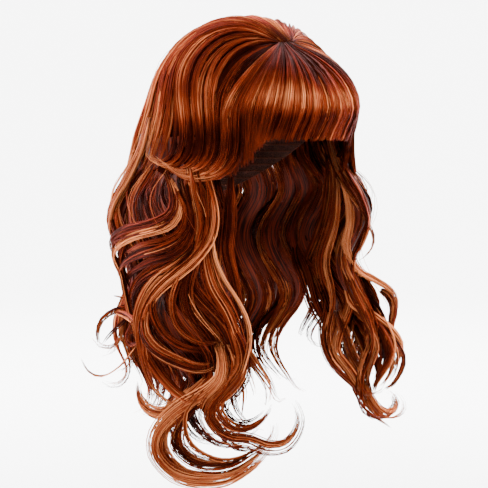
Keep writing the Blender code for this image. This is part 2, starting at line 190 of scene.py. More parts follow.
SHADE_AUBURN = (0.012, 0.0011, 0.0005, 1)
DEEP_AUBURN = (0.017, 0.0014, 0.0006, 1)
AUBURN = (0.155, 0.0175, 0.0042, 1)
COPPER = (0.620, 0.190, 0.068, 1)
GLOSS_TINT = (0.62, 0.24, 0.10, 1)
GLOSS_LEVEL = 0.12

# One row for each long lock. root, mid and tip are turns; mid_reach and tip_reach are shares of
# HAIR_REACH, length of HAIR_LENGTH, wide of LOCK_WIDTH, curl of CURL_RADIUS and swing of
# WAVE_SWING. start is the wave's phase, curl_to the turn that the end curls towards and
# curl_angle how far it curls.
Lock = namedtuple(
    "Lock",
    "root mid tip mid_reach tip_reach length wide swing start curl curl_to curl_angle",
)

# Softer hair closes the space between the front groups and the back.
RIGHT_BETWEEN = (Lock(-120, -117, -112, 0.94, 0.88, 0.66, 0.90, 0.9, 0.70, 0.60, -140, 110),)
LEFT_BETWEEN = (Lock(114, 113, 104, 0.88, 0.84, 0.70, 0.95, 0.9, 0.68, 0.60, 80, 110),)

BACK_LOCKS = (
    Lock(122, 123, 124, 0.92, 0.84, 0.82, 1.05, 1.0, 0.70, 0.60, 90, 90),
    Lock(138, 139, 140, 0.95, 0.86, 0.88, 1.20, 0.9, 0.64, 0.70, 110, 85),
    Lock(154, 155, 156, 0.97, 0.87, 0.92, 1.25, 1.0, 0.72, 0.60, 200, 90),
    Lock(170, 171, 171, 0.98, 0.88, 0.95, 1.25, 0.8, 0.66, 0.70, 140, 85),
    Lock(186, 187, 187, 0.98, 0.88, 0.96, 1.25, 1.0, 0.74, 0.60, 230, 90),
    Lock(202, 203, 202, 0.98, 0.88, 0.92, 1.25, 0.9, 0.68, 0.70, 170, 85),
    Lock(218, 219, 218, 0.98, 0.90, 0.84, 1.20, 1.0, 0.62, 0.70, 210, 95),
    Lock(233, 232, 230, 0.99, 0.96, 0.72, 1.05, 1.0, 0.63, 0.60, 250, 140),
)

RIGHT_LOCKS = (
    Lock(-74, -73, -54, 0.76, 0.84, 0.82, 0.85, 0.8, -0.08, 1.10, 48, 125),
    Lock(-80, -77, -61, 0.83, 0.86, 0.88, 1.00, 0.8, 0.00, 1.15, 50, 115),
    Lock(-87, -82, -69, 0.89, 0.87, 0.92, 1.05, 1.1, -0.12, 1.20, 46, 105),
    Lock(-96, -88, -78, 0.93, 0.88, 0.90, 1.10, 1.0, 0.72, 1.00, 40, 110),
    Lock(-105, -98, -86, 0.96, 0.89, 0.85, 1.05, 1.1, 0.66, 0.80, 30, 100),
    Lock(-113, -108, -97, 0.98, 0.92, 0.78, 0.95, 0.9, 0.62, 0.55, -140, 130),
)

LEFT_LOCKS = (
    Lock(68, 62, 53, 0.82, 0.94, 0.84, 0.85, 1.0, 0.66, 0.50, 62, 150),
    Lock(76, 68, 57, 0.88, 0.98, 0.78, 1.00, 0.9, 0.60, 0.50, 70, 165),
    Lock(86, 77, 61, 0.90, 0.95, 0.74, 1.05, 1.1, 0.72, 0.50, 80, 140),
    Lock(96, 88, 68, 0.88, 0.92, 0.78, 1.05, 1.0, 0.64, 0.60, 50, 120),
    Lock(106, 103, 82, 0.84, 0.84, 0.74, 1.00, 1.0, 0.74, 0.50, 40, 110),
)

# A point of a guide that strands grow round: where it is, how far they may stand from it sideways
# and outwards, and how much lighter or darker they are painted there, partly random tone and
# partly painted light and shade.
Step = namedtuple("Step", "point across out light")


def lerp(a, b, share):
    return a + (b - a) * share


def smooth(value, low, high):
    """0 below low, 1 above high and a smooth step between them."""
    share = min(1.0, max(0.0, (value - low) / (high - low)))
    return share * share * (3 - 2 * share)


def outwards(turn):
    """Level unit vector that leaves the head at this turn."""
    angle = math.radians(turn)
    return Vector((math.sin(angle), -math.cos(angle), 0))


def out_at(point):
    """Level unit vector that leaves the head's axis towards this point."""
    return outwards(math.degrees(math.atan2(point.x, -point.y)))


def turn_from_face(turn):
    return abs((turn + 180) % 360 - 180)


def part_way(side):
    """Direction of a point of the parting from the dome's middle, side from -1 to 1 along it."""
    across = (side * PART_HALF_LENGTH - PART_ASIDE) / HAIR_HALF_WIDTH
    along = (-PART_FORWARD - HAIR_CENTRE_Y) / HAIR_HALF_DEPTH
    up = (PART_HEIGHT + WIDEST_DROP) / (BEEHIVE_RISE + WIDEST_DROP)
    return Vector((across, along, up)).normalized()


skin_verts = []
skin_faces = []
for name in ("beehive", "fringe", "temple_sweep_right", "temple_sweep_left"):
    base = len(skin_verts)
    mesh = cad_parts[name].data
    skin_verts += [vert.co.copy() for vert in mesh.vertices]
    skin_faces += [[base + i for i in face.vertices] for face in mesh.polygons]
skin = BVHTree.FromPolygons(skin_verts, skin_faces)


def on_skin(unit, height):
    """Point at this height over the combed hair's surface, in a direction from its middle."""
    middle = Vector((0, HAIR_CENTRE_Y, -WIDEST_DROP))
    way = Vector(
        (
            HAIR_HALF_WIDTH * unit.x,
            HAIR_HALF_DEPTH * unit.y,
            (BEEHIVE_RISE + WIDEST_DROP) * unit.z,
        )
    ).normalized()
    return skin.ray_cast(middle + way * 0.3, -way)[0] + way * height


def combed_point(side, turn, arch, share, height):
    """Point of the line that hair follows from the parting, arched back over the crown first."""
    first = part_way(side)
    last = outwards(turn)
    if not arch:
        return on_skin(first.slerp(last, share), height)
    settled = 1 - smooth(turn_from_face(turn), 130, 180)
    lean = math.copysign(ARCH_TURN * settled, (turn + 180) % 360 - 180)
    crest = outwards(turn + lean) * math.cos(ARCH_RAISE) + Vector((0, 0, math.sin(ARCH_RAISE)))
    crest = first.slerp(last, 0.5).slerp(crest, arch)
    unit = first.slerp(crest, share).slerp(crest.slerp(last, share), share)
    return on_skin(unit, height)


def flare(turn, drop):
    """How far the side hair stands out below its widest level, away from the face."""
    return SIDE_FLARE * (drop - WIDEST_DROP) * smooth(turn_from_face(turn), *FLARE_TURNS)


def side_line(turn, drop, growth):
    """Point of the hair's side below its widest level, where growth moves it outwards."""
    way = outwards(turn)
    base = Vector((HAIR_HALF_WIDTH * way.x, HAIR_CENTRE_Y + HAIR_HALF_DEPTH * way.y, -drop))
    return base + way * growth


def side_reach(turn, drop):
    """Distance from the head's axis to the hair's surface at a turn and drop."""
    return (side_line(turn, drop, flare(turn, drop)) + Vector((0, 0, drop))).length


def lock_line(lock, steps=40, curl_steps=10):
    """Points down the middle of a long lock from the hem of the mound to its curled end."""
    root_reach = side_reach(lock.root, HEM_DROP) - LOCK_THICKNESS / 2
    start_drop = HEM_DROP - LOCK_THICKNESS / 2
    points = []
    for step in range(steps + 1):
        share = step / steps
        drop = lerp(start_drop, HAIR_LENGTH * lock.length, share)
        if share < LOCK_SETTLE_SHARE:
            near = math.sin(math.pi / 2 * share / LOCK_SETTLE_SHARE)
            turn = lerp(lock.root, lock.mid, near)
            reach = lerp(root_reach, HAIR_REACH * lock.mid_reach, near)
        else:
            far = smooth(share, LOCK_SETTLE_SHARE, 1)
            turn = lerp(lock.mid, lock.tip, far)
            reach = HAIR_REACH * lerp(lock.mid_reach, lock.tip_reach, far)
        wave = 2 * math.pi * (drop / WAVE_LENGTH + lock.start)
        growth = smooth(share, 0, 0.3)
        reach += WAVE_DEPTH * growth * math.cos(wave)
        sideways = WAVE_SWING * lock.swing * growth * math.sin(wave)
        points.append(
            outwards(turn) * reach + outwards(turn + 90) * sideways + Vector((0, 0, -drop))
        )
    radius = CURL_RADIUS * lock.curl
    down = (points[-1] - points[-2]).normalized()
    aside = outwards(lock.curl_to)
    aside = (aside - down * aside.dot(down)).normalized()
    end = points[-1]
    for step in range(1, curl_steps + 1):
        angle = math.radians(lock.curl_angle) * step / curl_steps
        points.append(end + radius * (down * math.sin(angle) + aside * (1 - math.cos(angle))))
    return points


def ribbon(points, wide, thick, root, tip, light):
    """Steps down a flat lock of this width and thickness, thinner at its root and its tip."""
    lengths = [0.0]
    for a, b in zip(points, points[1:]):
        lengths.append(lengths[-1] + (b - a).length)
    steps = []
    out = out_at(points[0])
    for i, point in enumerate(points):
        along = (points[min(len(points) - 1, i + 1)] - points[max(0, i - 1)]).normalized()
        out = out + out_at(point) * 0.4
        out = (out - along * out.dot(along)).normalized()
        share = lengths[i] / lengths[-1]
        size = lerp(root, 1.0, smooth(share, 0, 0.25)) * lerp(1.0, tip, smooth(share, 0.65, 1.0))
        across = along.cross(out) * (wide * size / 2)
        steps.append(Step(point, across, out * (thick * size / 2), light))
    return steps


def varied(lock, chance):
    """A lock like this one, with its own length, wave and curl."""
    return lock._replace(
        length=lock.length * chance.uniform(0.84, 1.0),
        swing=lock.swing * chance.uniform(1.0, 1.7),
        start=lock.start + chance.uniform(-0.07, 0.07),
        curl=lock.curl * chance.uniform(0.55, 1.05),
        curl_angle=lock.curl_angle * chance.uniform(0.9, 1.45),
        curl_to=lock.curl_to + chance.uniform(-40, 40),
    )


ROOT_INSET = 0.010


def lock_ribbons(lock, count, seed, light):
    """The flat ribbons that a long lock parts into, laid round its middle line."""
    chance = random.Random(seed)
    guides = []
    for i in range(count):
        points = lock_line(varied(lock, chance))
        spread = math.sqrt((i + 0.5) / count)
        angle = 2.4 * i + seed
        twist = chance.uniform(-1.6, 1.6)
        placed = []
        for k, point in enumerate(points):
            share = k / (len(points) - 1)
            out = out_at(point)
            aside = Vector((-out.y, out.x, 0))
            wound = angle + twist * share
            rooted = smooth(share, 0, 0.2)
            reach = spread * lerp(0.35, 0.8, rooted)
            placed.append(
                point
                + aside * (reach * math.cos(wound) * LOCK_WIDTH * lock.wide / 2)
                + out * (reach * math.sin(wound) * LOCK_THICKNESS / 2)
                - out * (ROOT_INSET * (1 - rooted))
            )
        wide = LOCK_WIDTH * lock.wide * chance.uniform(0.42, 0.6)
        guides.append(
            ribbon(placed, wide, wide * 0.45, 0.9, 0.3, light + chance.uniform(-0.15, 0.15))
        )
    return guides


COMB_DEPTH = 0.0022
COMB_ROWS = 18
ARCH_TURN = 46.0
ARCH_RAISE = math.radians(56)


def combed_over(side, turn, half_turn, arch, height=0.0, light=0.0):
    """Steps of a sheet of hair from the parting over the dome to its widest level."""
    steps = []
    for row in range(COMB_ROWS + 1):
        share = row / COMB_ROWS
        point = combed_point(side, turn, arch, share, height)
        across = combed_point(side, turn + half_turn, arch, share, height)
        across -= combed_point(side, turn - half_turn, arch, share, height)
        out = (point - Vector((0, HAIR_CENTRE_Y, -WIDEST_DROP))).normalized()
        root = Vector((PART_HALF_LENGTH * 0.12, 0, 0))
        steps.append(Step(point, across / 2 + root, out * COMB_DEPTH, light))
    return steps


def settled(steps, passes=5):
    """The same steps with their kinks smoothed out, ends kept."""
    for _ in range(passes):
        middle = [
            b._replace(
                point=(a.point + b.point * 2 + c.point) / 4,
                across=(a.across + b.across * 2 + c.across) / 4,
            )
            for a, b, c in zip(steps, steps[1:], steps[2:])
        ]
        steps = [steps[0]] + middle + [steps[-1]]
    return steps


def mound_guides(lock, count, seed, falls):
    """Steps of one lock's hair: over the mound, past the hem and a good way down the lock."""
    chance = random.Random(seed)
    guides = []
    for i in range(count):
        turn = lock.root % 360 + MOUND_LOCK_TURN * ((i + 0.5) / count - 0.5)
        side = lerp(1, -1, (turn - TEMPLE_HALF_TURN) / (360 - 2 * TEMPLE_HALF_TURN))
        light = chance.uniform(0.0, 0.18)
        height = chance.uniform(0.0, 0.002)
        half_turn = MOUND_OVERLAP * MOUND_LOCK_TURN / count
        steps = combed_over(side, turn, half_turn, 1.0, height, light)
        last = steps[-1]
        fall = lock_line(varied(lock, chance))
        for drop in (0.5 * (WIDEST_DROP + HEM_DROP), HEM_DROP):
            point = side_line(turn, drop, flare(turn, drop) + height)
            steps.append(Step(point, last.across, last.out, light))
        start = steps[-1].point - fall[3]
        end = int(len(fall) * chance.uniform(*falls))
        for k in range(5, end):
            near = smooth(k, 3, 22)
            out = out_at(fall[k])
            outer = out * (LOCK_THICKNESS * 0.3)
            point = fall[k] + start.lerp(outer, near)
            size = lerp(1.0, 0.35, smooth(k, 0.6 * end, end - 1))
            across = last.across.lerp(last.across.normalized() * LOCK_WIDTH * 0.3, near) * size
            steps.append(Step(point, across, out * lerp(COMB_DEPTH, 0.004, near) * size, light))
        guides.append(settled(steps))
    return guides


def guide_mesh(name, guides):
    """Mesh of bare lines, one for each guide, that carries the section sizes as attributes."""
    mesh = bpy.data.meshes.new(name)
    steps = [step for guide in guides for step in guide]
    edges = []
    first = 0
    for guide in guides:
        edges += [(first + i, first + i + 1) for i in range(len(guide) - 1)]
        first += len(guide)
    mesh.from_pydata([step.point for step in steps], edges, [])
    for label in ("across", "out"):
        held = mesh.attributes.new(label, "FLOAT_VECTOR", "POINT")
        held.data.foreach_set("vector", [c for step in steps for c in getattr(step, label)])
    held = mesh.attributes.new("light", "FLOAT", "POINT")
    held.data.foreach_set("value", [step.light for step in steps])
    return mesh


STRAND_SIZES = (
    ("Clumps", "NodeSocketInt", 12),
    ("Strands", "NodeSocketInt", 12),
    ("Inner Share", "NodeSocketFloat", 0.3),
    ("Clump Share", "NodeSocketFloat", 0.4),
    ("Tip Gather", "NodeSocketFloat", 0.3),
    ("Wander", "NodeSocketFloat", 0.006),
    ("Wander Length", "NodeSocketFloat", 0.09),
    ("Calm Until", "NodeSocketFloat", 0.0),
    ("Loose From", "NodeSocketFloat", 0.45),
    ("Frizz", "NodeSocketFloat", 0.001),
    ("Frizz Length", "NodeSocketFloat", 0.03),
    ("Strand Radius", "NodeSocketFloat", 0.0007),
    ("Contrast", "NodeSocketFloat", 1.0),
    ("Shortest", "NodeSocketFloat", 0.9),
    ("Strand Shortest", "NodeSocketFloat", 0.9),
    ("Tip Radius", "NodeSocketFloat", 0.2),
    ("Root Gather", "NodeSocketFloat", 0.35),
    ("Segment", "NodeSocketFloat", 0.012),
    ("Seed", "NodeSocketInt", 1),
    ("Finish", "NodeSocketMaterial", None),
)


def strand_tree():
    """Tree that grows clumps of fine tapered strands round guide lines."""
    tree = bpy.data.node_groups.new("strands along guides", "GeometryNodeTree")
    tree.interface.new_socket("Geometry", in_out="INPUT", socket_type="NodeSocketGeometry")
    for name, kind, value in STRAND_SIZES:
        socket = tree.interface.new_socket(name, in_out="INPUT", socket_type=kind)
        if value is not None:
            socket.default_value = value
    tree.interface.new_socket("Geometry", in_out="OUTPUT", socket_type="NodeSocketGeometry")
    given = put(tree, "NodeGroupInput").outputs

    def chance(number, low=0.0, high=1.0):
        """A random value for each curve, drawn by number."""
        seed = calc(tree, "ADD", calc(tree, "MULTIPLY", given["Seed"], 37.0), number)
        made = put(
            tree,
            "FunctionNodeRandomValue",
            {"Min": low, "Max": high, "Seed": seed},
            data_type="FLOAT",
        )
        return next(s for s in made.outputs if s.enabled)

    def held(name, kind="FLOAT_VECTOR"):
        made = put(tree, "GeometryNodeInputNamedAttribute", {"Name": name}, data_type=kind)
        return next(s for s in made.outputs if s.enabled)

    def keep(curves, name, value, kind="FLOAT", domain="CURVE"):
        return put(
            tree,
            "GeometryNodeStoreNamedAttribute",
            {"Geometry": curves, "Name": name, "Value": value},
            data_type=kind,
            domain=domain,
        ).outputs["Geometry"]

    def scaled(vector, amount):
        return put(
            tree, "ShaderNodeVectorMath", {"Vector": vector, "Scale": amount}, operation="SCALE"
        ).outputs["Vector"]

    def total(a, b):
        return put(tree, "ShaderNodeVectorMath", {0: a, 1: b}, operation="ADD").outputs["Vector"]

    def place_in_section(curves, label, inner, first_draw):
        """Draws a place in the round section and a tone for each curve, kept as one vector."""
        reach = calc(tree, "POWER", chance(first_draw), 0.5)
        reach = eased(tree, reach, 0, 1, inner, 1)
        angle = chance(first_draw + 1, 0, 2 * math.pi)
        place = put(
            tree,
            "ShaderNodeCombineXYZ",
            {
                "X": calc(tree, "MULTIPLY", reach, calc(tree, "COSINE", angle)),
                "Y": calc(tree, "MULTIPLY", reach, calc(tree, "SINE", angle)),
                "Z": chance(first_draw + 2),
            },
        ).outputs["Vector"]
        return keep(curves, label, place, "FLOAT_VECTOR")

    def parts_of(label):
        return put(tree, "ShaderNodeSeparateXYZ", {"Vector": held(label)}).outputs

    def noise(label, length, size):
        """Smooth wandering offset of this size, different for each kept vector."""
        place = put(tree, "GeometryNodeInputPosition").outputs["Position"]
        moved = total(scaled(place, calc(tree, "DIVIDE", 1.0, length)), scaled(held(label), 23.7))
        cloud = put(
            tree, "ShaderNodeTexNoise", {"Vector": moved, "Scale": 1.0, "Detail": 0.0}
        ).outputs["Color"]
        centred = total(cloud, (-0.5, -0.5, -0.5))
        return scaled(centred, calc(tree, "MULTIPLY", size, 2.0))

    def moved_by(curves, offset):
        return put(
            tree, "GeometryNodeSetPosition", {"Geometry": curves, "Offset": offset}
        ).outputs["Geometry"]

    def copies(curves, amount):
        return put(
            tree,
            "GeometryNodeDuplicateElements",
            {"Geometry": curves, "Amount": amount},
            domain="SPLINE",
        ).outputs["Geometry"]

    def cut(curves, start, end):
        return put(
            tree, "GeometryNodeTrimCurve", {"Curve": curves, "Start": start, "End": end},
            mode="FACTOR",
        ).outputs["Curve"]

    along = put(tree, "GeometryNodeSplineParameter").outputs["Factor"]

    lines = put(tree, "GeometryNodeMeshToCurve", {"Mesh": given["Geometry"]}).outputs["Curve"]
    clumps = place_in_section(copies(lines, given["Clumps"]), "clump", given["Inner Share"], 1)
    clump = parts_of("clump")
    spread = total(scaled(held("across"), clump["X"]), scaled(held("out"), clump["Y"]))
    clumps = moved_by(clumps, spread)
    drift = noise("clump", given["Wander Length"], given["Wander"])
    loose = eased(tree, along, given["Calm Until"], given["Loose From"], 0.0, 1.0)
    clumps = moved_by(clumps, scaled(drift, loose))
    clumps = cut(clumps, 0.0, chance(5, given["Shortest"], 1.0))

    strands = place_in_section(copies(clumps, given["Strands"]), "strand", 0.0, 6)
    strands = cut(strands, chance(9, 0.0, 0.02), chance(10, given["Strand Shortest"], 1.0))
    strands = put(
        tree, "GeometryNodeResampleCurve", {"Curve": strands, "Length": given["Segment"]},
        mode="LENGTH",
    ).outputs["Curve"]
    strand = parts_of("strand")
    section = total(
        scaled(held("across"), strand["X"]),
        scaled(held("out"), strand["Y"]),
    )
    gather = calc(
        tree,
        "MULTIPLY",
        eased(tree, along, 0.4, 1.0, 1.0, given["Tip Gather"]),
        eased(tree, along, 0.0, 0.2, given["Root Gather"], 1.0),
    )
    width = calc(tree, "MULTIPLY", given["Clump Share"], gather)
    strands = moved_by(strands, scaled(section, width))
    frizz = noise("strand", given["Frizz Length"], given["Frizz"])
    calm = eased(tree, along, given["Calm Until"], given["Loose From"], 0.25, 1.0)
    strands = moved_by(strands, scaled(frizz, calm))

    drawn = calc(tree, "MULTIPLY", calc(tree, "ADD", clump["Z"], strand["Z"]), 0.5)
    spread = calc(tree, "MULTIPLY", calc(tree, "SUBTRACT", drawn, 0.5), given["Contrast"])
    # tone is random by clump and strand, plus the guides' light, which is partly painted light and
    # shade.
    tone = calc(tree, "ADD", calc(tree, "ADD", spread, 0.5), held("light", "FLOAT"))
    strands = keep(strands, "tone", tone, domain="POINT")
    strands = keep(strands, "along", along, domain="POINT")
    # depth marks the inner side of a clump, where the hair is given painted shade.
    depth = calc(tree, "MULTIPLY_ADD", clump["Y"], 0.5, 0.5)
    strands = keep(strands, "depth", depth, domain="POINT")
    taper = eased(tree, along, 0.8, 1.0, 1.0, given["Tip Radius"])
    taper = calc(tree, "MULTIPLY", taper, chance(11, 0.75, 1.25))
    ring = put(tree, "GeometryNodeCurvePrimitiveCircle", {"Resolution": 3, "Radius": 1.0})
    tubes = put(
        tree,
        "GeometryNodeCurveToMesh",
        {
            "Curve": strands,
            "Profile Curve": ring.outputs["Curve"],
            "Scale": calc(tree, "MULTIPLY", given["Strand Radius"], taper),
            "Fill Caps": True,
        },
    ).outputs["Mesh"]
    tubes = put(tree, "GeometryNodeSetShadeSmooth", {"Geometry": tubes}).outputs["Geometry"]
    real = put(tree, "GeometryNodeRealizeInstances", {"Geometry": tubes}).outputs["Geometry"]
    done = put(
        tree, "GeometryNodeSetMaterial", {"Geometry": real, "Material": given["Finish"]}
    ).outputs["Geometry"]
    put(tree, "NodeGroupOutput", {"Geometry": done})
    return tree


def grow(name, guides, tree, **sizes):
    """A plain mesh object of strands round the guides."""
    source = linked("guides", guide_mesh("guides", guides))
    modifier = source.modifiers.new("strands", "NODES")
    modifier.node_group = tree
    sockets = {s.name: s.identifier for s in tree.interface.items_tree if s.in_out == "INPUT"}
    for label, value in sizes.items():
        modifier[sockets[label.replace("_", " ").title()]] = value
    ready = source.evaluated_get(bpy.context.evaluated_depsgraph_get())
    mesh = bpy.data.meshes.new_from_object(ready)
    bpy.data.objects.remove(source)
    for label in ("across", "out", "clump", "strand", "radius", "light"):
        if label in mesh.attributes:
            mesh.attributes.remove(mesh.attributes[label])
    return linked(name, mesh)


def hair_tones():
    """Shader group for the colour and gloss of dyed hair, by strand, length and depth: painted
    shade on the inner side of each clump, and darker towards the roots.
    """
    group = bpy.data.node_groups.new("hair tones", "ShaderNodeTree")
    for name in ("Deep", "Middle", "Bright"):
        group.interface.new_socket(name, in_out="INPUT", socket_type="NodeSocketColor")
    for name in ("Root Shade", "Depth Shade", "Patch Scale"):
        group.interface.new_socket(name, in_out="INPUT", socket_type="NodeSocketFloat")
    group.interface.new_socket("Colour", in_out="OUTPUT", socket_type="NodeSocketColor")
    group.interface.new_socket("Roughness", in_out="OUTPUT", socket_type="NodeSocketFloat")
    given = put(group, "NodeGroupInput").outputs

    def read(name):
        return put(group, "ShaderNodeAttribute", attribute_name=name).outputs["Fac"]

    place = put(group, "ShaderNodeTexCoord").outputs["Object"]
    cloud = put(
        group,
        "ShaderNodeTexNoise",
        {"Vector": place, "Scale": given["Patch Scale"], "Detail": 2.0},
    ).outputs["Fac"]
    patch = calc(group, "MULTIPLY", calc(group, "SUBTRACT", cloud, 0.5), 0.7)
    tone = calc(group, "ADD", read("tone"), patch, clamp=True)
    base = mixed(group, eased(group, tone, 0.05, 0.6, 0.0, 1.0), given["Deep"], given["Middle"])
    base = mixed(group, eased(group, tone, 0.5, 1.05, 0.0, 1.0), base, given["Bright"])
    root = eased(group, read("along"), 0.0, 0.10, given["Root Shade"], 1.0)
    # inside is painted shade: the inner side of each clump is darker.
    inside = eased(group, read("depth"), 0.15, 0.75, given["Depth Shade"], 1.0)
    shade = calc(group, "MULTIPLY", root, inside)
    dim = put(group, "ShaderNodeVectorMath", {"Vector": base, "Scale": shade}, operation="SCALE")
    rough = eased(group, tone, 0.0, 1.0, 0.50, 0.36)
    put(group, "NodeGroupOutput", {"Colour": dim.outputs["Vector"], "Roughness": rough})
    return group


def hair_finish(
    name, tones, deep, middle, bright, root_shade, depth_shade, patch_scale, gloss=0.55
):
    made, tree, shader = blank_material(name)
    tinted = put(tree, "ShaderNodeGroup", node_tree=tones)
    for label, value in (
        ("Deep", deep),
        ("Middle", middle),
        ("Bright", bright),
        ("Root Shade", root_shade),
        ("Depth Shade", depth_shade),
        ("Patch Scale", patch_scale),
    ):
        tinted.inputs[label].default_value = value
    tree.links.new(tinted.outputs["Colour"], shader.inputs["Base Color"])
    tree.links.new(tinted.outputs["Roughness"], shader.inputs["Roughness"])
    shader.inputs["Metallic"].default_value = gloss
    shader.inputs["Specular Tint"].default_value = GLOSS_TINT
    shader.inputs["Specular IOR Level"].default_value = GLOSS_LEVEL if gloss else 0.0
    return made


def under_mass(name, node, sink, finish, shorten=1.0):
    """The solid hair below the loose strands, a little smaller than the piece that it fills, given
    a dark finish as painted shade.
    """
    shape = bmesh.new()
    shape.from_mesh(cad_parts[node].data)
    bmesh.ops.remove_doubles(shape, verts=shape.verts, dist=0.00001)
    shape.normal_update()
    for vert, place in [(v, v.co - v.normal * sink) for v in shape.verts]:
        hang = min(0.0, place.z + WIDEST_DROP)
        vert.co = place + Vector((0, 0, hang * (shorten - 1)))
    mesh = bpy.data.meshes.new(name)
    shape.to_mesh(mesh)
    shape.free()
    mesh.shade_smooth()
    mesh.materials.clear()
    mesh.materials.append(finish)
    return linked(name, mesh)


strands = strand_tree()
tones = hair_tones()
combed = hair_finish(
    "combed auburn hair", tones, DEEP_AUBURN, AUBURN, COPPER, 0.30, 0.8, 18.0
)
# The inner hair is nearly black: painted shade for the solid masses under the strands.
inner = hair_finish(
    "shaded inner hair", tones, SHADE_AUBURN, SHADE_AUBURN, DEEP_AUBURN, 1.0, 1.0, 60.0, 0.0
)

# Each lock of the mound, with the shares of its length between which the combed hair ends.
mound_locks = [(lock, (0.16, 0.24)) for lock in RIGHT_LOCKS[3:]]
mound_locks += [(lock, (0.35, 0.62)) for lock in BACK_LOCKS]
mound_locks += [(lock, (0.30, 0.50)) for lock in LEFT_LOCKS[3:]]
beehive = grow(
    "beehive_hair",
    [
        guide
        for k, (lock, falls) in enumerate(mound_locks)
        for guide in mound_guides(lock, 3, 100 + k, falls)
    ],
    strands,
    clumps=4, strands=6, inner_share=0.0, clump_share=0.55, tip_gather=0.5, root_gather=0.8,
    wander=0.006, wander_length=0.09, calm_until=0.45, loose_from=0.8, frizz=0.0009,
    strand_radius=0.00062, contrast=0.75, shortest=0.75, segment=0.0125, seed=3, finish=combed,
)
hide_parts("beehive")
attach(beehive, "root")

teased = under_mass("beehive_inside", "beehive", 0.0048, inner)
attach(teased, "root")


# The fringe is cut from the hair in front of the parting. It is combed forwards and down over the
# brow in one full rounded roll, tucked under at its ends, and left longer at the temples.
FRINGE_HALF_TURN = 62.0
FRINGE_STRAIGHT_TURN = 33.0
BROW_DROP = 0.0965
TEMPLE_DROP = 0.139
FRINGE_TUCK = 0.012
FRINGE_SWAY = 5.0
FRINGE_GUIDES = 61
FRINGE_ROWS = 8
FRINGE_OVERLAP = 1.5


def fringe_guide(turn, half_turn, chance):
    light = chance.uniform(-0.06, 0.06)
    steps = combed_over(turn / FRINGE_HALF_TURN, turn, half_turn, 0.0, 0.0, light)
    last = steps[-1]
    edge_drop = lerp(
        BROW_DROP, TEMPLE_DROP, smooth(abs(turn), FRINGE_STRAIGHT_TURN, FRINGE_HALF_TURN)
    )
    edge_drop += chance.uniform(-0.001, 0.001)
    sway = FRINGE_SWAY * (1 - smooth(abs(turn), 30, 56)) + chance.uniform(-1, 1)
    for row in range(1, FRINGE_ROWS + 1):
        hang = row / FRINGE_ROWS
        drop = lerp(WIDEST_DROP, edge_drop, hang)
        growth = -FRINGE_TUCK * smooth(hang, 0, 0.9)
        swept = turn - sway * smooth(hang, 0.0, 1.1)
        steps.append(Step(side_line(swept, drop, growth), last.across, last.out, light))
    return [step._replace(light=light + painted_fringe_light_at(-step.point.z)) for step in settled(steps)]


def painted_fringe_light_at(drop):
    """Painted light on the fringe: a painted highlight round its fullest part, and painted shade
    over it and below it.
    """
    painted_highlight_band = smooth(drop, 0.030, 0.044) - smooth(drop, 0.054, 0.063)
    # deep is the painted shade below the fullest part; the last term is the painted shade over it,
    # near the parting.
    deep = smooth(drop, 0.056, 0.068) - 0.45 * smooth(drop, 0.078, 0.096)
    return 0.22 * painted_highlight_band - 0.28 * deep - 0.36 * (1 - smooth(drop, 0.004, 0.040))


fringe_chance = random.Random(41)
fringe = grow(
    "fringe_hair",
    [
        fringe_guide(
            lerp(-FRINGE_HALF_TURN, FRINGE_HALF_TURN, (i + 0.5) / FRINGE_GUIDES),
            FRINGE_OVERLAP * FRINGE_HALF_TURN / FRINGE_GUIDES,
            fringe_chance,
        )
        for i in range(FRINGE_GUIDES)
    ],
    strands,
    clumps=3, strands=7, inner_share=0.0, clump_share=0.85, tip_gather=0.7, root_gather=0.5,
    wander=0.0012, wander_length=0.06, calm_until=0.5, loose_from=1.0, frizz=0.0007,
    strand_radius=0.00055, contrast=0.55, shortest=0.975, strand_shortest=0.965, tip_radius=0.6,
    segment=0.012, seed=5, finish=combed,
)
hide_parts("fringe")
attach(fringe, "root")

fringe_inside = under_mass("fringe_inside", "fringe", 0.0025, inner, shorten=0.8)
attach(fringe_inside, "root")


# The temple hair beside the fringe is combed back over each ear. Its free ends turn outwards and
# up in a flick that lies over the long locks.
SWEEP_GUIDES = 11
SWEEP_HALF_TURN = 2.8
SWEEP_HEIGHT = 0.001
VALLEY_HALF_TURN = 4.0
VALLEY_DEPTH = 0.0015
VALLEY_PAINTED_SHADE = -0.55

# Where the swept hair crosses the widest level, from its front edge to its back edge, and how far
# it arches back over the crown before that. The step between the second row and the third leaves
# a shaded valley beside the fringe.
SWEEP_TOPS = ((55.0, 0.0), (61.0, 0.0), (69.0, 0.5), (77.0, 0.75), (85.0, 0.9), (92.0, 1.0))
VALLEY_TURNS = ((61.0, 0.15), (64.0, 0.3), (67.0, 0.45), (72.0, 0.7), (80.0, 0.85))

# The bends of the swept hair below its widest level, at its front edge and its back edge: turn,
# drop below the crown, how far out or in it lies, and its painted light: painted shade where it
# tucks in under the mound, and a painted highlight on the flick.
SWEEP_FRONT = (
    (54, 0.080, -0.002, -0.20),
    (53, 0.100, -0.006, -0.35),
    (52, 0.118, -0.004, -0.20),
    (55, 0.131, 0.002, 0.00),
    (63, 0.1415, 0.009, 0.20),
    (72, 0.1450, 0.015, 0.30),
    (79, 0.139, 0.018, 0.30),
    (84, 0.128, 0.020, 0.25),
    (87, 0.116, 0.021, 0.25),
)
SWEEP_BACK = (
    (91, 0.075, 0.000, -0.35),
    (90, 0.088, -0.003, -0.60),
    (89, 0.100, -0.001, -0.60),
    (88, 0.111, 0.004, -0.40),
    (89, 0.119, 0.010, -0.10),
    (91, 0.123, 0.015, 0.10),
    (93, 0.121, 0.018, 0.30),
    (95, 0.114, 0.020, 0.35),
    (97, 0.105, 0.021, 0.35),
)


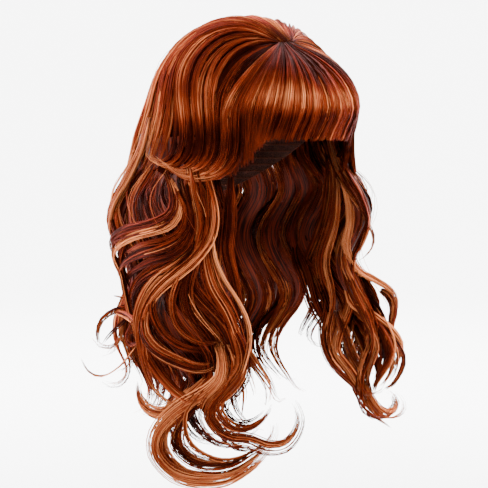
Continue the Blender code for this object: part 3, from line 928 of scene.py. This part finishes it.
def sweep_guide(side, across, chance):
    place = across * (len(SWEEP_TOPS) - 1)
    row = min(int(place), len(SWEEP_TOPS) - 2)
    turn, arch = (lerp(a, b, place - row) for a, b in zip(SWEEP_TOPS[row], SWEEP_TOPS[row + 1]))
    light = chance.uniform(-0.1, 0.1)
    steps = combed_over(side, side * turn, SWEEP_HALF_TURN, arch, SWEEP_HEIGHT, light)
    last = steps[-1]
    for front, back in zip(SWEEP_FRONT, SWEEP_BACK):
        # gloss here is the painted light and shade of the tables' last column.
        swept, drop, growth, gloss = (lerp(a, b, across) for a, b in zip(front, back))
        growth += flare(swept, min(drop, HEM_DROP))
        point = side_line(side * swept, drop, growth)
        steps.append(Step(point, last.across * 0.8, last.out, light + gloss))
    return settled(steps, 3)


def valley_guide(side, turn, arch):
    """Steps of the deep hair in the valley between the fringe and the mound, darkened as painted
    shade.
    """
    steps = combed_over(side, side * turn, VALLEY_HALF_TURN, arch, -VALLEY_DEPTH, VALLEY_PAINTED_SHADE)
    return [step._replace(across=step.across * 1.2) for step in settled(steps, 3)]


for name, side in (("temple_sweep_right", -1), ("temple_sweep_left", 1)):
    sweep_chance = random.Random(60 + side)
    sweep = grow(
        name + "_hair",
        [sweep_guide(side, i / (SWEEP_GUIDES - 1), sweep_chance) for i in range(SWEEP_GUIDES)]
        + [valley_guide(side, turn, arch) for turn, arch in VALLEY_TURNS],
        strands,
        clumps=5, strands=7, inner_share=0.0, clump_share=0.55, tip_gather=0.45, root_gather=0.8,
        wander=0.003, wander_length=0.06, calm_until=0.55, loose_from=1.0, frizz=0.0007,
        strand_radius=0.00058, contrast=0.75, shortest=0.9, segment=0.0115, seed=7 + side,
        finish=combed,
    )
    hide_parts(name)
    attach(sweep, "root")
    sweep_inside = under_mass(name + "_inside", name, 0.006, inner)
    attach(sweep_inside, "root")


# The long locks are set in loose waves and hang in front of the shoulders and down the back.
# Each ends in an open curl.
waved = hair_finish(
    "waved auburn hair", tones, DEEP_AUBURN, AUBURN, COPPER, 0.35, 0.45, 14.0
)

CORE_SIDES = 10
CORE_SPAN = slice(1, 34)
CORE_WIDTH_SHARE = 0.92
CORE_THICKNESS_SHARE = 0.55


def lock_core(lock):
    """A closed tube down the inside of a long lock, for the painted shade within it."""
    sides = CORE_SIDES
    wide = LOCK_WIDTH * lock.wide * CORE_WIDTH_SHARE
    thick = LOCK_THICKNESS * CORE_THICKNESS_SHARE
    steps = ribbon(lock_line(lock)[CORE_SPAN], wide, thick, 0.8, 0.1, 0.0)
    points = []
    faces = [tuple(range(sides))[::-1]]
    for k, step in enumerate(steps):
        for i in range(sides):
            angle = 2 * math.pi * i / sides
            points.append(step.point + step.across * math.cos(angle) + step.out * math.sin(angle))
        if k:
            base = (k - 1) * sides
            for i in range(sides):
                j = (i + 1) % sides
                faces.append((base + i, base + j, base + j + sides, base + i + sides))
    faces.append(tuple(range(len(points) - sides, len(points))))
    return points, faces


def streaked_finish():
    """Hair for the cores, painted dark as the shade inside each lock, with fine lights and darks
    that run down it.
    """
    made, tree, shader = blank_material("streaked inner hair")
    streak = put(tree, "ShaderNodeAttribute", attribute_name="streak").outputs["Vector"]
    fine = put(
        tree, "ShaderNodeTexNoise", {"Vector": streak, "Scale": 9.0, "Detail": 3.0}
    ).outputs["Fac"]
    colour = mixed(tree, ranged(tree, fine, 0.42, 0.68), SHADE_AUBURN, AUBURN)
    tree.links.new(colour, shader.inputs["Base Color"])
    bump = put(tree, "ShaderNodeBump", {"Height": fine, "Strength": 0.6, "Distance": 0.001})
    tree.links.new(bump.outputs["Normal"], shader.inputs["Normal"])
    shader.inputs["Roughness"].default_value = 0.55
    shader.inputs["Specular IOR Level"].default_value = 0.1
    return made


streaked = streaked_finish()


def cores(name, locks):
    points = []
    faces = []
    streaks = []
    for number, lock in enumerate(locks):
        base = len(points)
        more, sides = lock_core(lock)
        points += more
        faces += [tuple(base + i for i in face) for face in sides]
        for i in range(len(more)):
            angle = 2 * math.pi * (i % CORE_SIDES) / CORE_SIDES
            streaks += [
                math.cos(angle) * 1.6,
                math.sin(angle) * 1.6,
                0.02 * (i // CORE_SIDES) + 3.7 * number,
            ]
    mesh = bpy.data.meshes.new(name)
    mesh.from_pydata(points, [], faces)
    held = mesh.attributes.new("streak", "FLOAT_VECTOR", "POINT")
    held.data.foreach_set("vector", streaks)
    shape = bmesh.new()
    shape.from_mesh(mesh)
    bmesh.ops.recalc_face_normals(shape, faces=shape.faces)
    shape.to_mesh(mesh)
    shape.free()
    mesh.shade_smooth()
    mesh.materials.append(streaked)
    return linked(name, mesh)


# Each group with the ribbons of a lock, the seed, the light, which paints the front groups darker
# as shade, and the share of its reach that the loose ribbons keep. The single locks set over the
# front groups lie outside them.
for name, locks, ribbons, seed, light, kept in (
    ("front_locks_right", RIGHT_LOCKS + RIGHT_BETWEEN, 3, 11, -0.32, 0.92),
    ("front_locks_left", LEFT_LOCKS + LEFT_BETWEEN, 3, 13, -0.12, 0.96),
    ("back_locks", BACK_LOCKS, 4, 17, 0.0, 1.0),
):
    locks = [
        lock._replace(mid_reach=lock.mid_reach * kept, tip_reach=lock.tip_reach * kept)
        for lock in locks
    ]
    hair = grow(
        name + "_hair",
        [
            guide
            for k, lock in enumerate(locks)
            for guide in lock_ribbons(lock, ribbons, seed * 10 + k, light)
        ],
        strands,
        clumps=4, strands=7, inner_share=0.2, clump_share=0.5, tip_gather=0.45, wander=0.004,
        wander_length=0.10, frizz=0.0010, strand_radius=0.00072, shortest=0.93, segment=0.0135,
        seed=seed, finish=waved,
    )
    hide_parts(name)
    core = cores(name + "_inside", locks)
    for piece in (hair, core):
        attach(piece, "root")


# The outer locks in front of the shoulders are the ones that show most, so each is set by itself:
# flat glossy ribbons that swing out, cross and end in open hooks. Each bend of a ribbon is a turn,
# a reach from the head's axis and a drop below the crown. Lengths in these rows are millimetres.
MM_PER_M = 1000
# A ribbon's light is painted light and shade: lower for ribbons that lie in shade inside the
# bundle, higher for those that catch the highlights.
Ribbon = namedtuple("Ribbon", "wide thick light path")

RIGHT_CURLS = (
    Ribbon(15, 6, 0.15, (  # s ribbon
        (-70, 119, 125), (-66, 125, 154), (-65, 125, 177), (-67, 126, 201), (-74, 132, 223),
        (-82, 142, 241), (-89, 150, 258), (-93, 156, 278), (-94, 161, 300), (-93, 162, 322),
        (-92, 159, 345), (-89, 154, 369),
    )),
    Ribbon(14, 6, -0.08, (  # s second
        (-74, 125, 129), (-70, 129, 160), (-69, 129, 184), (-72, 131, 209), (-80, 138, 228),
        (-90, 145, 245), (-96, 152, 263), (-99, 158, 286), (-99, 160, 312), (-98, 155, 331),
    )),
    Ribbon(11, 5, -0.08, (  # barrel a
        (-88, 138, 129), (-82, 141, 149), (-79, 147, 166), (-81, 153, 179), (-89, 158, 189),
        (-102, 162, 196), (-113, 168, 206), (-118, 169, 220), (-120, 160, 233),
    )),
    Ribbon(12, 5, 0.04, (  # barrel b
        (-83, 140, 136), (-78, 142, 156), (-76, 147, 173), (-79, 152, 188), (-88, 157, 196),
        (-100, 160, 203), (-111, 165, 215), (-117, 167, 229), (-119, 160, 243),
    )),
    Ribbon(12, 5, -0.18, (  # barrel c
        (-79, 138, 140), (-75, 142, 166), (-74, 145, 188), (-79, 150, 203), (-88, 154, 212),
        (-100, 154, 220), (-112, 159, 233), (-119, 162, 249),
    )),
    Ribbon(11, 5, -0.08, (  # barrel d
        (-76, 133, 142), (-73, 137, 166), (-71, 140, 188), (-74, 144, 210), (-83, 145, 223),
        (-96, 144, 231), (-113, 146, 245), (-125, 151, 263), (-131, 150, 284),
    )),
    Ribbon(13, 5, -0.28, (  # barrel under
        (-73, 129, 184), (-74, 136, 208), (-82, 140, 228), (-93, 148, 241), (-102, 155, 257),
        (-104, 158, 277), (-102, 153, 301),
    )),
    Ribbon(7, 4, 0.2, (  # edge loop
        (-119, 134, 116), (-122, 148, 141), (-126, 162, 166), (-125, 168, 185), (-124, 160, 203),
    )),
    Ribbon(6, 4, 0.05, (  # edge loop in
        (-121, 137, 127), (-123, 150, 152), (-124, 158, 171), (-119, 162, 188), (-115, 159, 206),
    )),
    Ribbon(14, 6, 0.3, (  # edge down
        (-116, 125, 70), (-114, 133, 97), (-118, 142, 123), (-123, 154, 150), (-124, 164, 171),
        (-124, 168, 194), (-125, 165, 212),
    )),
    Ribbon(8, 5, -0.08, (  # edge low
        (-124, 165, 210), (-120, 165, 230), (-119, 157, 249), (-118, 153, 272), (-111, 153, 293),
        (-104, 154, 317),
    )),
    Ribbon(4.5, 3, 0.15, (  # front thin
        (-67, 115, 188), (-64, 123, 221), (-58, 128, 247), (-51, 131, 268), (-46, 133, 292),
        (-45, 134, 314), (-47, 134, 336), (-50, 132, 356), (-54, 127, 375),
    )),
    Ribbon(14, 7, -0.06, (  # front thick
        (-72, 113, 199), (-68, 122, 230), (-63, 129, 256), (-56, 130, 281), (-52, 125, 308),
        (-50, 121, 333), (-53, 123, 358), (-58, 130, 377), (-63, 136, 389),
    )),
    Ribbon(12, 6, -0.23, (  # face edge
        (-68, 102, 130), (-63, 111, 160), (-63, 114, 193), (-64, 117, 224), (-61, 125, 252),
        (-56, 129, 273), (-51, 127, 293),
    )),
    Ribbon(13, 6, 0.02, (  # face second
        (-78, 127, 125), (-75, 134, 151), (-72, 135, 177), (-73, 135, 201), (-78, 137, 219),
    )),
    Ribbon(13, 6, 0.1, (  # mid curl
        (-94, 148, 268), (-93, 160, 291), (-90, 164, 311), (-85, 160, 326), (-78, 152, 336),
        (-70, 141, 344), (-64, 133, 342), (-60, 127, 333),
    )),
    Ribbon(14, 6, -0.08, (  # mid low
        (-98, 156, 297), (-93, 160, 318), (-89, 156, 339), (-85, 149, 357), (-79, 144, 372),
        (-71, 141, 382), (-65, 137, 384),
    )),
    Ribbon(3.5, 3, 0.3, (  # mid thin
        (-96, 158, 311), (-94, 161, 336), (-91, 160, 358), (-86, 155, 375), (-80, 148, 385),
        (-73, 142, 386), (-66, 139, 380),
    )),
    Ribbon(14, 6, 0.02, (  # side hook
        (-76, 129, 369), (-80, 142, 385), (-86, 147, 395), (-94, 150, 394), (-98, 155, 384),
        (-99, 157, 363),
    )),
    Ribbon(17, 7, 0.1, (  # big outer
        (-63, 125, 314), (-59, 130, 334), (-60, 132, 355), (-67, 137, 372), (-76, 142, 385),
        (-83, 150, 401), (-87, 158, 421), (-85, 163, 442), (-78, 158, 461), (-68, 148, 469),
        (-56, 139, 467), (-45, 136, 453), (-37, 137, 433), (-33, 135, 416), (-33, 131, 400),
    )),
    Ribbon(16, 6, 0.05, (  # big second
        (-68, 124, 337), (-65, 129, 354), (-71, 139, 375), (-79, 142, 396), (-87, 146, 417),
        (-87, 147, 438), (-81, 149, 453), (-72, 147, 462), (-61, 142, 463), (-51, 138, 457),
        (-42, 136, 445), (-36, 134, 429),
    )),
    Ribbon(14, 6, 0.07, (  # big inner
        (-64, 125, 364), (-68, 138, 376), (-75, 144, 392), (-80, 148, 412), (-81, 150, 432),
        (-74, 149, 449), (-65, 147, 456), (-53, 142, 453), (-44, 137, 440), (-36, 135, 422),
    )),
    Ribbon(4, 3, 0.3, (  # big fine
        (-69, 142, 377), (-73, 148, 392), (-73, 151, 409), (-71, 151, 424), (-66, 148, 436),
        (-58, 143, 444), (-49, 137, 442), (-39, 134, 430), (-33, 133, 413), (-33, 130, 399),
    )),
    Ribbon(15, 6, 0.1, (  # right hook
        (-58, 123, 319), (-54, 126, 340), (-57, 131, 364), (-62, 140, 378), (-64, 148, 394),
        (-60, 149, 410), (-53, 147, 420), (-45, 143, 422), (-37, 141, 430), (-29, 137, 430),
        (-23, 134, 419), (-20, 133, 402), (-22, 131, 386), (-25, 128, 373),
    )),
    Ribbon(14, 6, 0.05, (  # mid hook
        (-47, 126, 326), (-48, 132, 350), (-54, 135, 369), (-59, 141, 383), (-56, 144, 398),
        (-50, 141, 409), (-42, 137, 405), (-36, 134, 392), (-34, 132, 380),
    )),
    Ribbon(2, 2, 0.2, (  # fine one
        (-52, 123, 324), (-50, 129, 348), (-48, 133, 369), (-48, 136, 384), (-49, 138, 402),
    )),
    Ribbon(12, 6, -0.23, (  # low right
        (-55, 126, 293), (-49, 130, 317), (-48, 129, 341), (-54, 130, 363), (-61, 135, 381),
        (-65, 140, 399),
    )),
    Ribbon(12, 6, -0.38, (  # inner a
        (-73, 120, 200), (-75, 129, 231), (-76, 138, 259), (-73, 140, 284), (-68, 136, 303),
        (-63, 129, 320),
    )),
    Ribbon(8, 5, -0.13, (  # inner b
        (-78, 129, 231), (-80, 143, 253), (-80, 151, 275), (-77, 151, 298), (-71, 145, 312),
        (-65, 138, 317), (-58, 131, 315),
    )),
    Ribbon(9, 5, -0.33, (  # inner c
        (-90, 144, 255), (-89, 156, 279), (-84, 157, 303), (-77, 151, 318), (-70, 142, 324),
        (-63, 132, 324),
    )),
    Ribbon(5, 4, 0, (  # loop a
        (-112, 139, 274), (-117, 153, 285), (-121, 167, 291), (-121, 180, 301), (-120, 185, 317),
        (-120, 182, 333),
    )),
    Ribbon(4, 3, -0.1, (  # loop b
        (-111, 142, 283), (-118, 157, 303), (-121, 172, 320), (-121, 179, 331),
    )),
    Ribbon(4, 3, 0.1, (  # loop c
        (-102, 150, 283), (-106, 154, 301), (-110, 157, 316), (-106, 157, 325), (-99, 157, 319),
        (-96, 158, 310),
    )),
    Ribbon(2, 2, 0.1, (  # wisp a
        (-116, 141, 264), (-120, 153, 275), (-122, 166, 273),
    )),
    Ribbon(6, 4, 0.07, (  # spike
        (-97, 153, 315), (-105, 153, 299), (-116, 158, 293), (-120, 168, 291),
    )),
    Ribbon(1.5, 1.5, 0, (  # wisp b
        (-104, 151, 325), (-112, 164, 351), (-118, 180, 364), (-121, 195, 359), (-122, 204, 340),
    )),
    Ribbon(12, 5, 0, (  # big fill
        (-68, 126, 356), (-71, 136, 376), (-76, 142, 393), (-78, 146, 412), (-77, 147, 431),
        (-71, 145, 445), (-62, 138, 451), (-52, 133, 448), (-43, 132, 438),
    )),
    Ribbon(11, 5, -0.08, (  # barrel gap
        (-78, 144, 149), (-74, 144, 168), (-74, 145, 183), (-76, 148, 196), (-82, 152, 205),
        (-91, 156, 210), (-102, 157, 217), (-112, 160, 226),
    )),
    Ribbon(12, 5, -0.15, (  # edge fill
        (-110, 153, 196), (-116, 158, 215), (-120, 157, 232), (-121, 152, 251), (-122, 144, 270),
    )),
    Ribbon(15, 6, -0.35, (  # face fill
        (-56, 109, 134), (-56, 111, 160), (-56, 114, 187), (-57, 116, 215), (-54, 116, 242),
        (-51, 116, 270), (-49, 116, 292), (-48, 117, 312),
    )),
)

LEFT_CURLS = (
    Ribbon(9, 5, 0.25, (  # loop a
        (62, 100, 138), (57, 113, 159), (56, 130, 180), (58, 133, 201), (60, 121, 234),
    )),
    Ribbon(4, 3, 0, (  # loop b
        (58, 114, 161), (57, 129, 185), (57, 141, 209), (58, 137, 227), (59, 122, 239),
    )),
    Ribbon(16, 7, 0.3, (  # diagonal
        (64, 103, 136), (61, 111, 164), (62, 114, 192), (61, 108, 222), (58, 119, 247),
        (58, 144, 262), (59, 164, 275), (59, 169, 292), (59, 166, 315),
    )),
    Ribbon(18, 7, 0.15, (  # second
        (60, 107, 255), (54, 114, 285), (53, 136, 299), (55, 161, 319), (58, 175, 339),
        (59, 171, 358), (59, 163, 372),
    )),
    Ribbon(18, 7, 0.15, (  # long
        (76, 107, 132), (76, 109, 163), (79, 108, 194), (85, 100, 239), (81, 103, 275),
        (76, 99, 295), (76, 93, 326), (73, 101, 358), (62, 123, 384), (53, 134, 405),
        (51, 151, 421), (54, 168, 417), (57, 174, 405), (58, 163, 392), (58, 151, 389),
    )),
    Ribbon(16, 6, 0, (  # long two
        (67, 106, 235), (63, 111, 264), (63, 115, 289), (64, 102, 324), (64, 99, 345),
        (61, 114, 367), (55, 127, 391), (52, 136, 412), (52, 153, 430),
    )),
    Ribbon(11, 5, 0.05, (  # outer low
        (56, 136, 300), (56, 161, 326), (58, 178, 351), (59, 175, 370), (58, 162, 386),
        (57, 145, 391),
    )),
    Ribbon(14, 7, -0.2, (  # neck a
        (111, 109, 223), (107, 100, 239), (98, 95, 261), (88, 91, 292), (82, 100, 318),
        (83, 110, 343),
    )),
    Ribbon(16, 7, -0.1, (  # neck b
        (106, 113, 213), (97, 106, 248), (87, 103, 276), (76, 101, 304), (75, 95, 333),
        (75, 106, 360), (72, 124, 384),
    )),
    Ribbon(16, 7, -0.1, (  # face
        (77, 99, 110), (78, 104, 146), (84, 106, 185), (92, 104, 222), (97, 102, 245),
        (89, 101, 272), (79, 102, 299),
    )),
    Ribbon(17, 6, 0.1, (  # mid a
        (56, 115, 271), (53, 130, 304), (53, 144, 335), (53, 136, 362), (52, 131, 388),
    )),
    Ribbon(14, 6, 0, (  # mid b
        (56, 129, 290), (54, 152, 323), (55, 160, 345), (55, 148, 368), (53, 137, 389),
    )),
    Ribbon(2, 2, 0.2, (  # fine
        (63, 119, 389), (58, 133, 414), (55, 163, 435),
    )),
    Ribbon(16, 7, -0.1, (  # low fill
        (74, 127, 308), (64, 132, 332), (57, 135, 354), (55, 134, 375), (56, 141, 397),
    )),
    Ribbon(13, 6, 0.05, (  # low edge
        (55, 141, 292), (55, 157, 318), (56, 163, 340), (56, 156, 361), (54, 143, 380),
        (52, 138, 395),
    )),
    Ribbon(10, 6, 0.1, (  # hook inner
        (66, 121, 364), (55, 132, 392), (51, 143, 409), (54, 158, 414), (56, 167, 406),
        (58, 163, 395),
    )),
    Ribbon(18, 8, 0.05, (  # fill a
        (71, 118, 286), (61, 127, 298), (57, 144, 314), (57, 160, 336), (58, 166, 358),
        (58, 160, 376), (57, 147, 388),
    )),
    Ribbon(18, 8, -0.1, (  # fill b
        (82, 123, 288), (73, 128, 313), (64, 137, 333), (59, 145, 353), (57, 147, 374),
        (58, 140, 390),
    )),
    Ribbon(18, 8, 0, (  # fill c
        (64, 100, 296), (64, 110, 325), (64, 119, 351), (58, 128, 371), (53, 133, 391),
    )),
    Ribbon(13, 6, 0.1, (  # swing low
        (62, 153, 273), (60, 164, 281), (59, 167, 296), (58, 163, 312), (58, 164, 329),
    )),
    Ribbon(17, 8, -0.05, (  # fill d
        (72, 127, 306), (70, 117, 331), (68, 117, 357), (61, 125, 379), (54, 131, 398),
    )),
    Ribbon(17, 8, -0.05, (  # fill e
        (55, 133, 297), (56, 151, 321), (59, 157, 346), (61, 156, 366), (63, 147, 385),
    )),
)


def curve_through(points, pitch=0.008):
    """Even points along a smooth curve through these."""
    ends = [points[0] * 2 - points[1]] + points + [points[-1] * 2 - points[-2]]
    line = []
    for before, a, b, after in zip(ends, ends[1:], ends[2:], ends[3:]):
        count = max(2, round((b - a).length / pitch))
        for i in range(count):
            t = i / count
            line.append(
                0.5
                * (
                    a * 2
                    + (b - before) * t
                    + (before * 2 - a * 5 + b * 4 - after) * (t * t)
                    + (a * 3 - before - b * 3 + after) * (t * t * t)
                )
            )
    line.append(points[-1])
    return line


def curl_guide(curl):
    bends = [
        outwards(turn) * (reach / MM_PER_M) + Vector((0, 0, -drop / MM_PER_M))
        for turn, reach, drop in curl.path
    ]
    wide, thick = curl.wide / MM_PER_M, curl.thick / MM_PER_M
    return ribbon(curve_through(bends), wide, thick, 0.6, 0.6, curl.light)


FINE_WIDTH = 5.5

for name, curls, clump_count, strand_count, seed in (
    ("front_curls_right", [c for c in RIGHT_CURLS if c.wide > FINE_WIDTH], 5, 9, 23),
    ("front_curls_left", [c for c in LEFT_CURLS if c.wide > FINE_WIDTH], 5, 11, 29),
    ("fine_curls", [c for c in RIGHT_CURLS + LEFT_CURLS if c.wide <= FINE_WIDTH], 3, 4, 31),
):
    hair = grow(
        name,
        [curl_guide(curl) for curl in curls],
        strands,
        clumps=clump_count, strands=strand_count, inner_share=0.0, clump_share=0.66,
        tip_gather=0.6, wander=0.0012, wander_length=0.08, frizz=0.0006, strand_radius=0.0006,
        contrast=1.2, shortest=0.9, segment=0.0088, seed=seed, finish=waved,
    )
    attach(hair, "root")


# Single hairs stray from the waves and from the combed top, as they do on every long wig.
stray_guides = []
for k, lock in enumerate(BACK_LOCKS):
    stray_guides += mound_guides(lock, 2, 400 + k, (0.7, 0.95))
for k, lock in enumerate(RIGHT_LOCKS + LEFT_LOCKS):
    stray_guides += lock_ribbons(lock, 2, 500 + k, 0.1)
strays = grow(
    "stray_hairs",
    stray_guides,
    strands,
    clumps=3, strands=1, inner_share=0.9, clump_share=0.0, wander=0.016, wander_length=0.08,
    frizz=0.003, frizz_length=0.04, strand_radius=0.00028, shortest=0.6, segment=0.012, seed=37,
    finish=waved,
)
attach(strays, "root")


# A plain pale sweep of paper stands round and under the wig, with soft lights over it.
FLOOR_DROP = 0.62
SWEEP_RADIUS = 5.0
BEND_RADIUS = 1.6
WALL_TOP = 5.0
PAPER = (0.92, 0.92, 0.92, 1)


def paper_round():
    profile = [(0.0, 0.0), (SWEEP_RADIUS - BEND_RADIUS, 0.0)]
    bends = 12
    for i in range(1, bends + 1):
        angle = math.pi / 2 * i / bends
        profile.append(
            (
                SWEEP_RADIUS - BEND_RADIUS + BEND_RADIUS * math.sin(angle),
                BEND_RADIUS * (1 - math.cos(angle)),
            )
        )
    profile.append((SWEEP_RADIUS, WALL_TOP))
    shape = bmesh.new()
    verts = [shape.verts.new((r, 0, z - FLOOR_DROP)) for r, z in profile]
    edges = [shape.edges.new(pair) for pair in zip(verts, verts[1:])]
    bmesh.ops.spin(
        shape, geom=verts + edges, cent=(0, 0, 0), axis=(0, 0, 1), angle=2 * math.pi, steps=96
    )
    bmesh.ops.remove_doubles(shape, verts=shape.verts, dist=0.0005)
    mesh = bpy.data.meshes.new("paper")
    shape.to_mesh(mesh)
    shape.free()
    mesh.shade_smooth()
    made, tree, shader = blank_material("studio paper")
    shader.inputs["Base Color"].default_value = PAPER
    shader.inputs["Roughness"].default_value = 0.9
    mesh.materials.append(made)
    return linked("paper", mesh)


paper = paper_round()
paper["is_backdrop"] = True

CAMERA_TURN = -42.0
CAMERA_RAISE = 4.0
CAMERA_DISTANCE = 2.2
VIEW_WIDTH = 0.566
VIEW_SHIFT = -0.0128
VIEW_DROP = 0.216
LIT_DROP = 0.2
PAPER_LIGHT_DISTANCE = 2.2
PAPER_LIGHT_HEIGHT = 1.8
PAPER_LIGHT_SIZE = 2.4

turn = math.radians(CAMERA_TURN)
raise_angle = math.radians(CAMERA_RAISE)
toward = Vector(
    (
        math.sin(turn) * math.cos(raise_angle),
        -math.cos(turn) * math.cos(raise_angle),
        math.sin(raise_angle),
    )
)
beside = Vector((math.cos(turn), math.sin(turn), 0))
aim = beside * VIEW_SHIFT + Vector((0, 0, -VIEW_DROP))
camera = linked("camera", bpy.data.cameras.new("camera"))
camera.location = aim + toward * CAMERA_DISTANCE
camera.rotation_euler = (-toward).to_track_quat("-Z", "Y").to_euler()
camera.data.lens = camera.data.sensor_width * CAMERA_DISTANCE / VIEW_WIDTH
bpy.context.scene.camera = camera


def soft_light(name, size, power, place, way):
    """A square soft light at this place that shines along this way."""
    lamp = bpy.data.lights.new(name, "AREA")
    lamp.size = size
    lamp.energy = power
    light = linked(name, lamp)
    light.location = place
    light.rotation_euler = way.to_track_quat("-Z", "Y").to_euler()


# turn round the wig, raise above it, distance, size and power of each soft light
LIGHTS = (
    ("key", -62.0, 34.0, 2.1, 1.3, 52.0),
    ("second", 22.0, 19.0, 2.3, 1.3, 48.0),
    ("rim right", -150.0, 30.0, 2.2, 1.0, 14.0),
    ("rim left", 80.0, 20.0, 2.2, 1.0, 5.0),
)
for name, light_turn, light_raise, distance, size, power in LIGHTS:
    level = math.cos(math.radians(light_raise))
    way = outwards(light_turn) * level + Vector((0, 0, math.sin(math.radians(light_raise))))
    soft_light(name, size, power, Vector((0, 0, -LIT_DROP)) + way * distance, -way)

# turn and power of the lights that whiten the paper behind, and the turn that they point to
PAPER_LIGHTS = ((90.0, 540.0, 122.0), (-170.0, 540.0, 156.0))
for light_turn, power, paper_turn in PAPER_LIGHTS:
    place = outwards(light_turn) * PAPER_LIGHT_DISTANCE + Vector((0, 0, PAPER_LIGHT_HEIGHT))
    way = outwards(paper_turn) * (SWEEP_RADIUS * 0.7) + Vector((0, 0, -FLOOR_DROP)) - place
    soft_light("paper light", PAPER_LIGHT_SIZE, power, place, way)

sky = bpy.data.worlds.new("studio")
sky.use_nodes = True
sky.node_tree.nodes["Background"].inputs["Color"].default_value = (1, 1, 1, 1)
sky.node_tree.nodes["Background"].inputs["Strength"].default_value = 0.15
bpy.context.scene.world = sky

size = {"cad": [list(corner) for corner in cad_box], "visual": [list(c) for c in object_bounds()]}
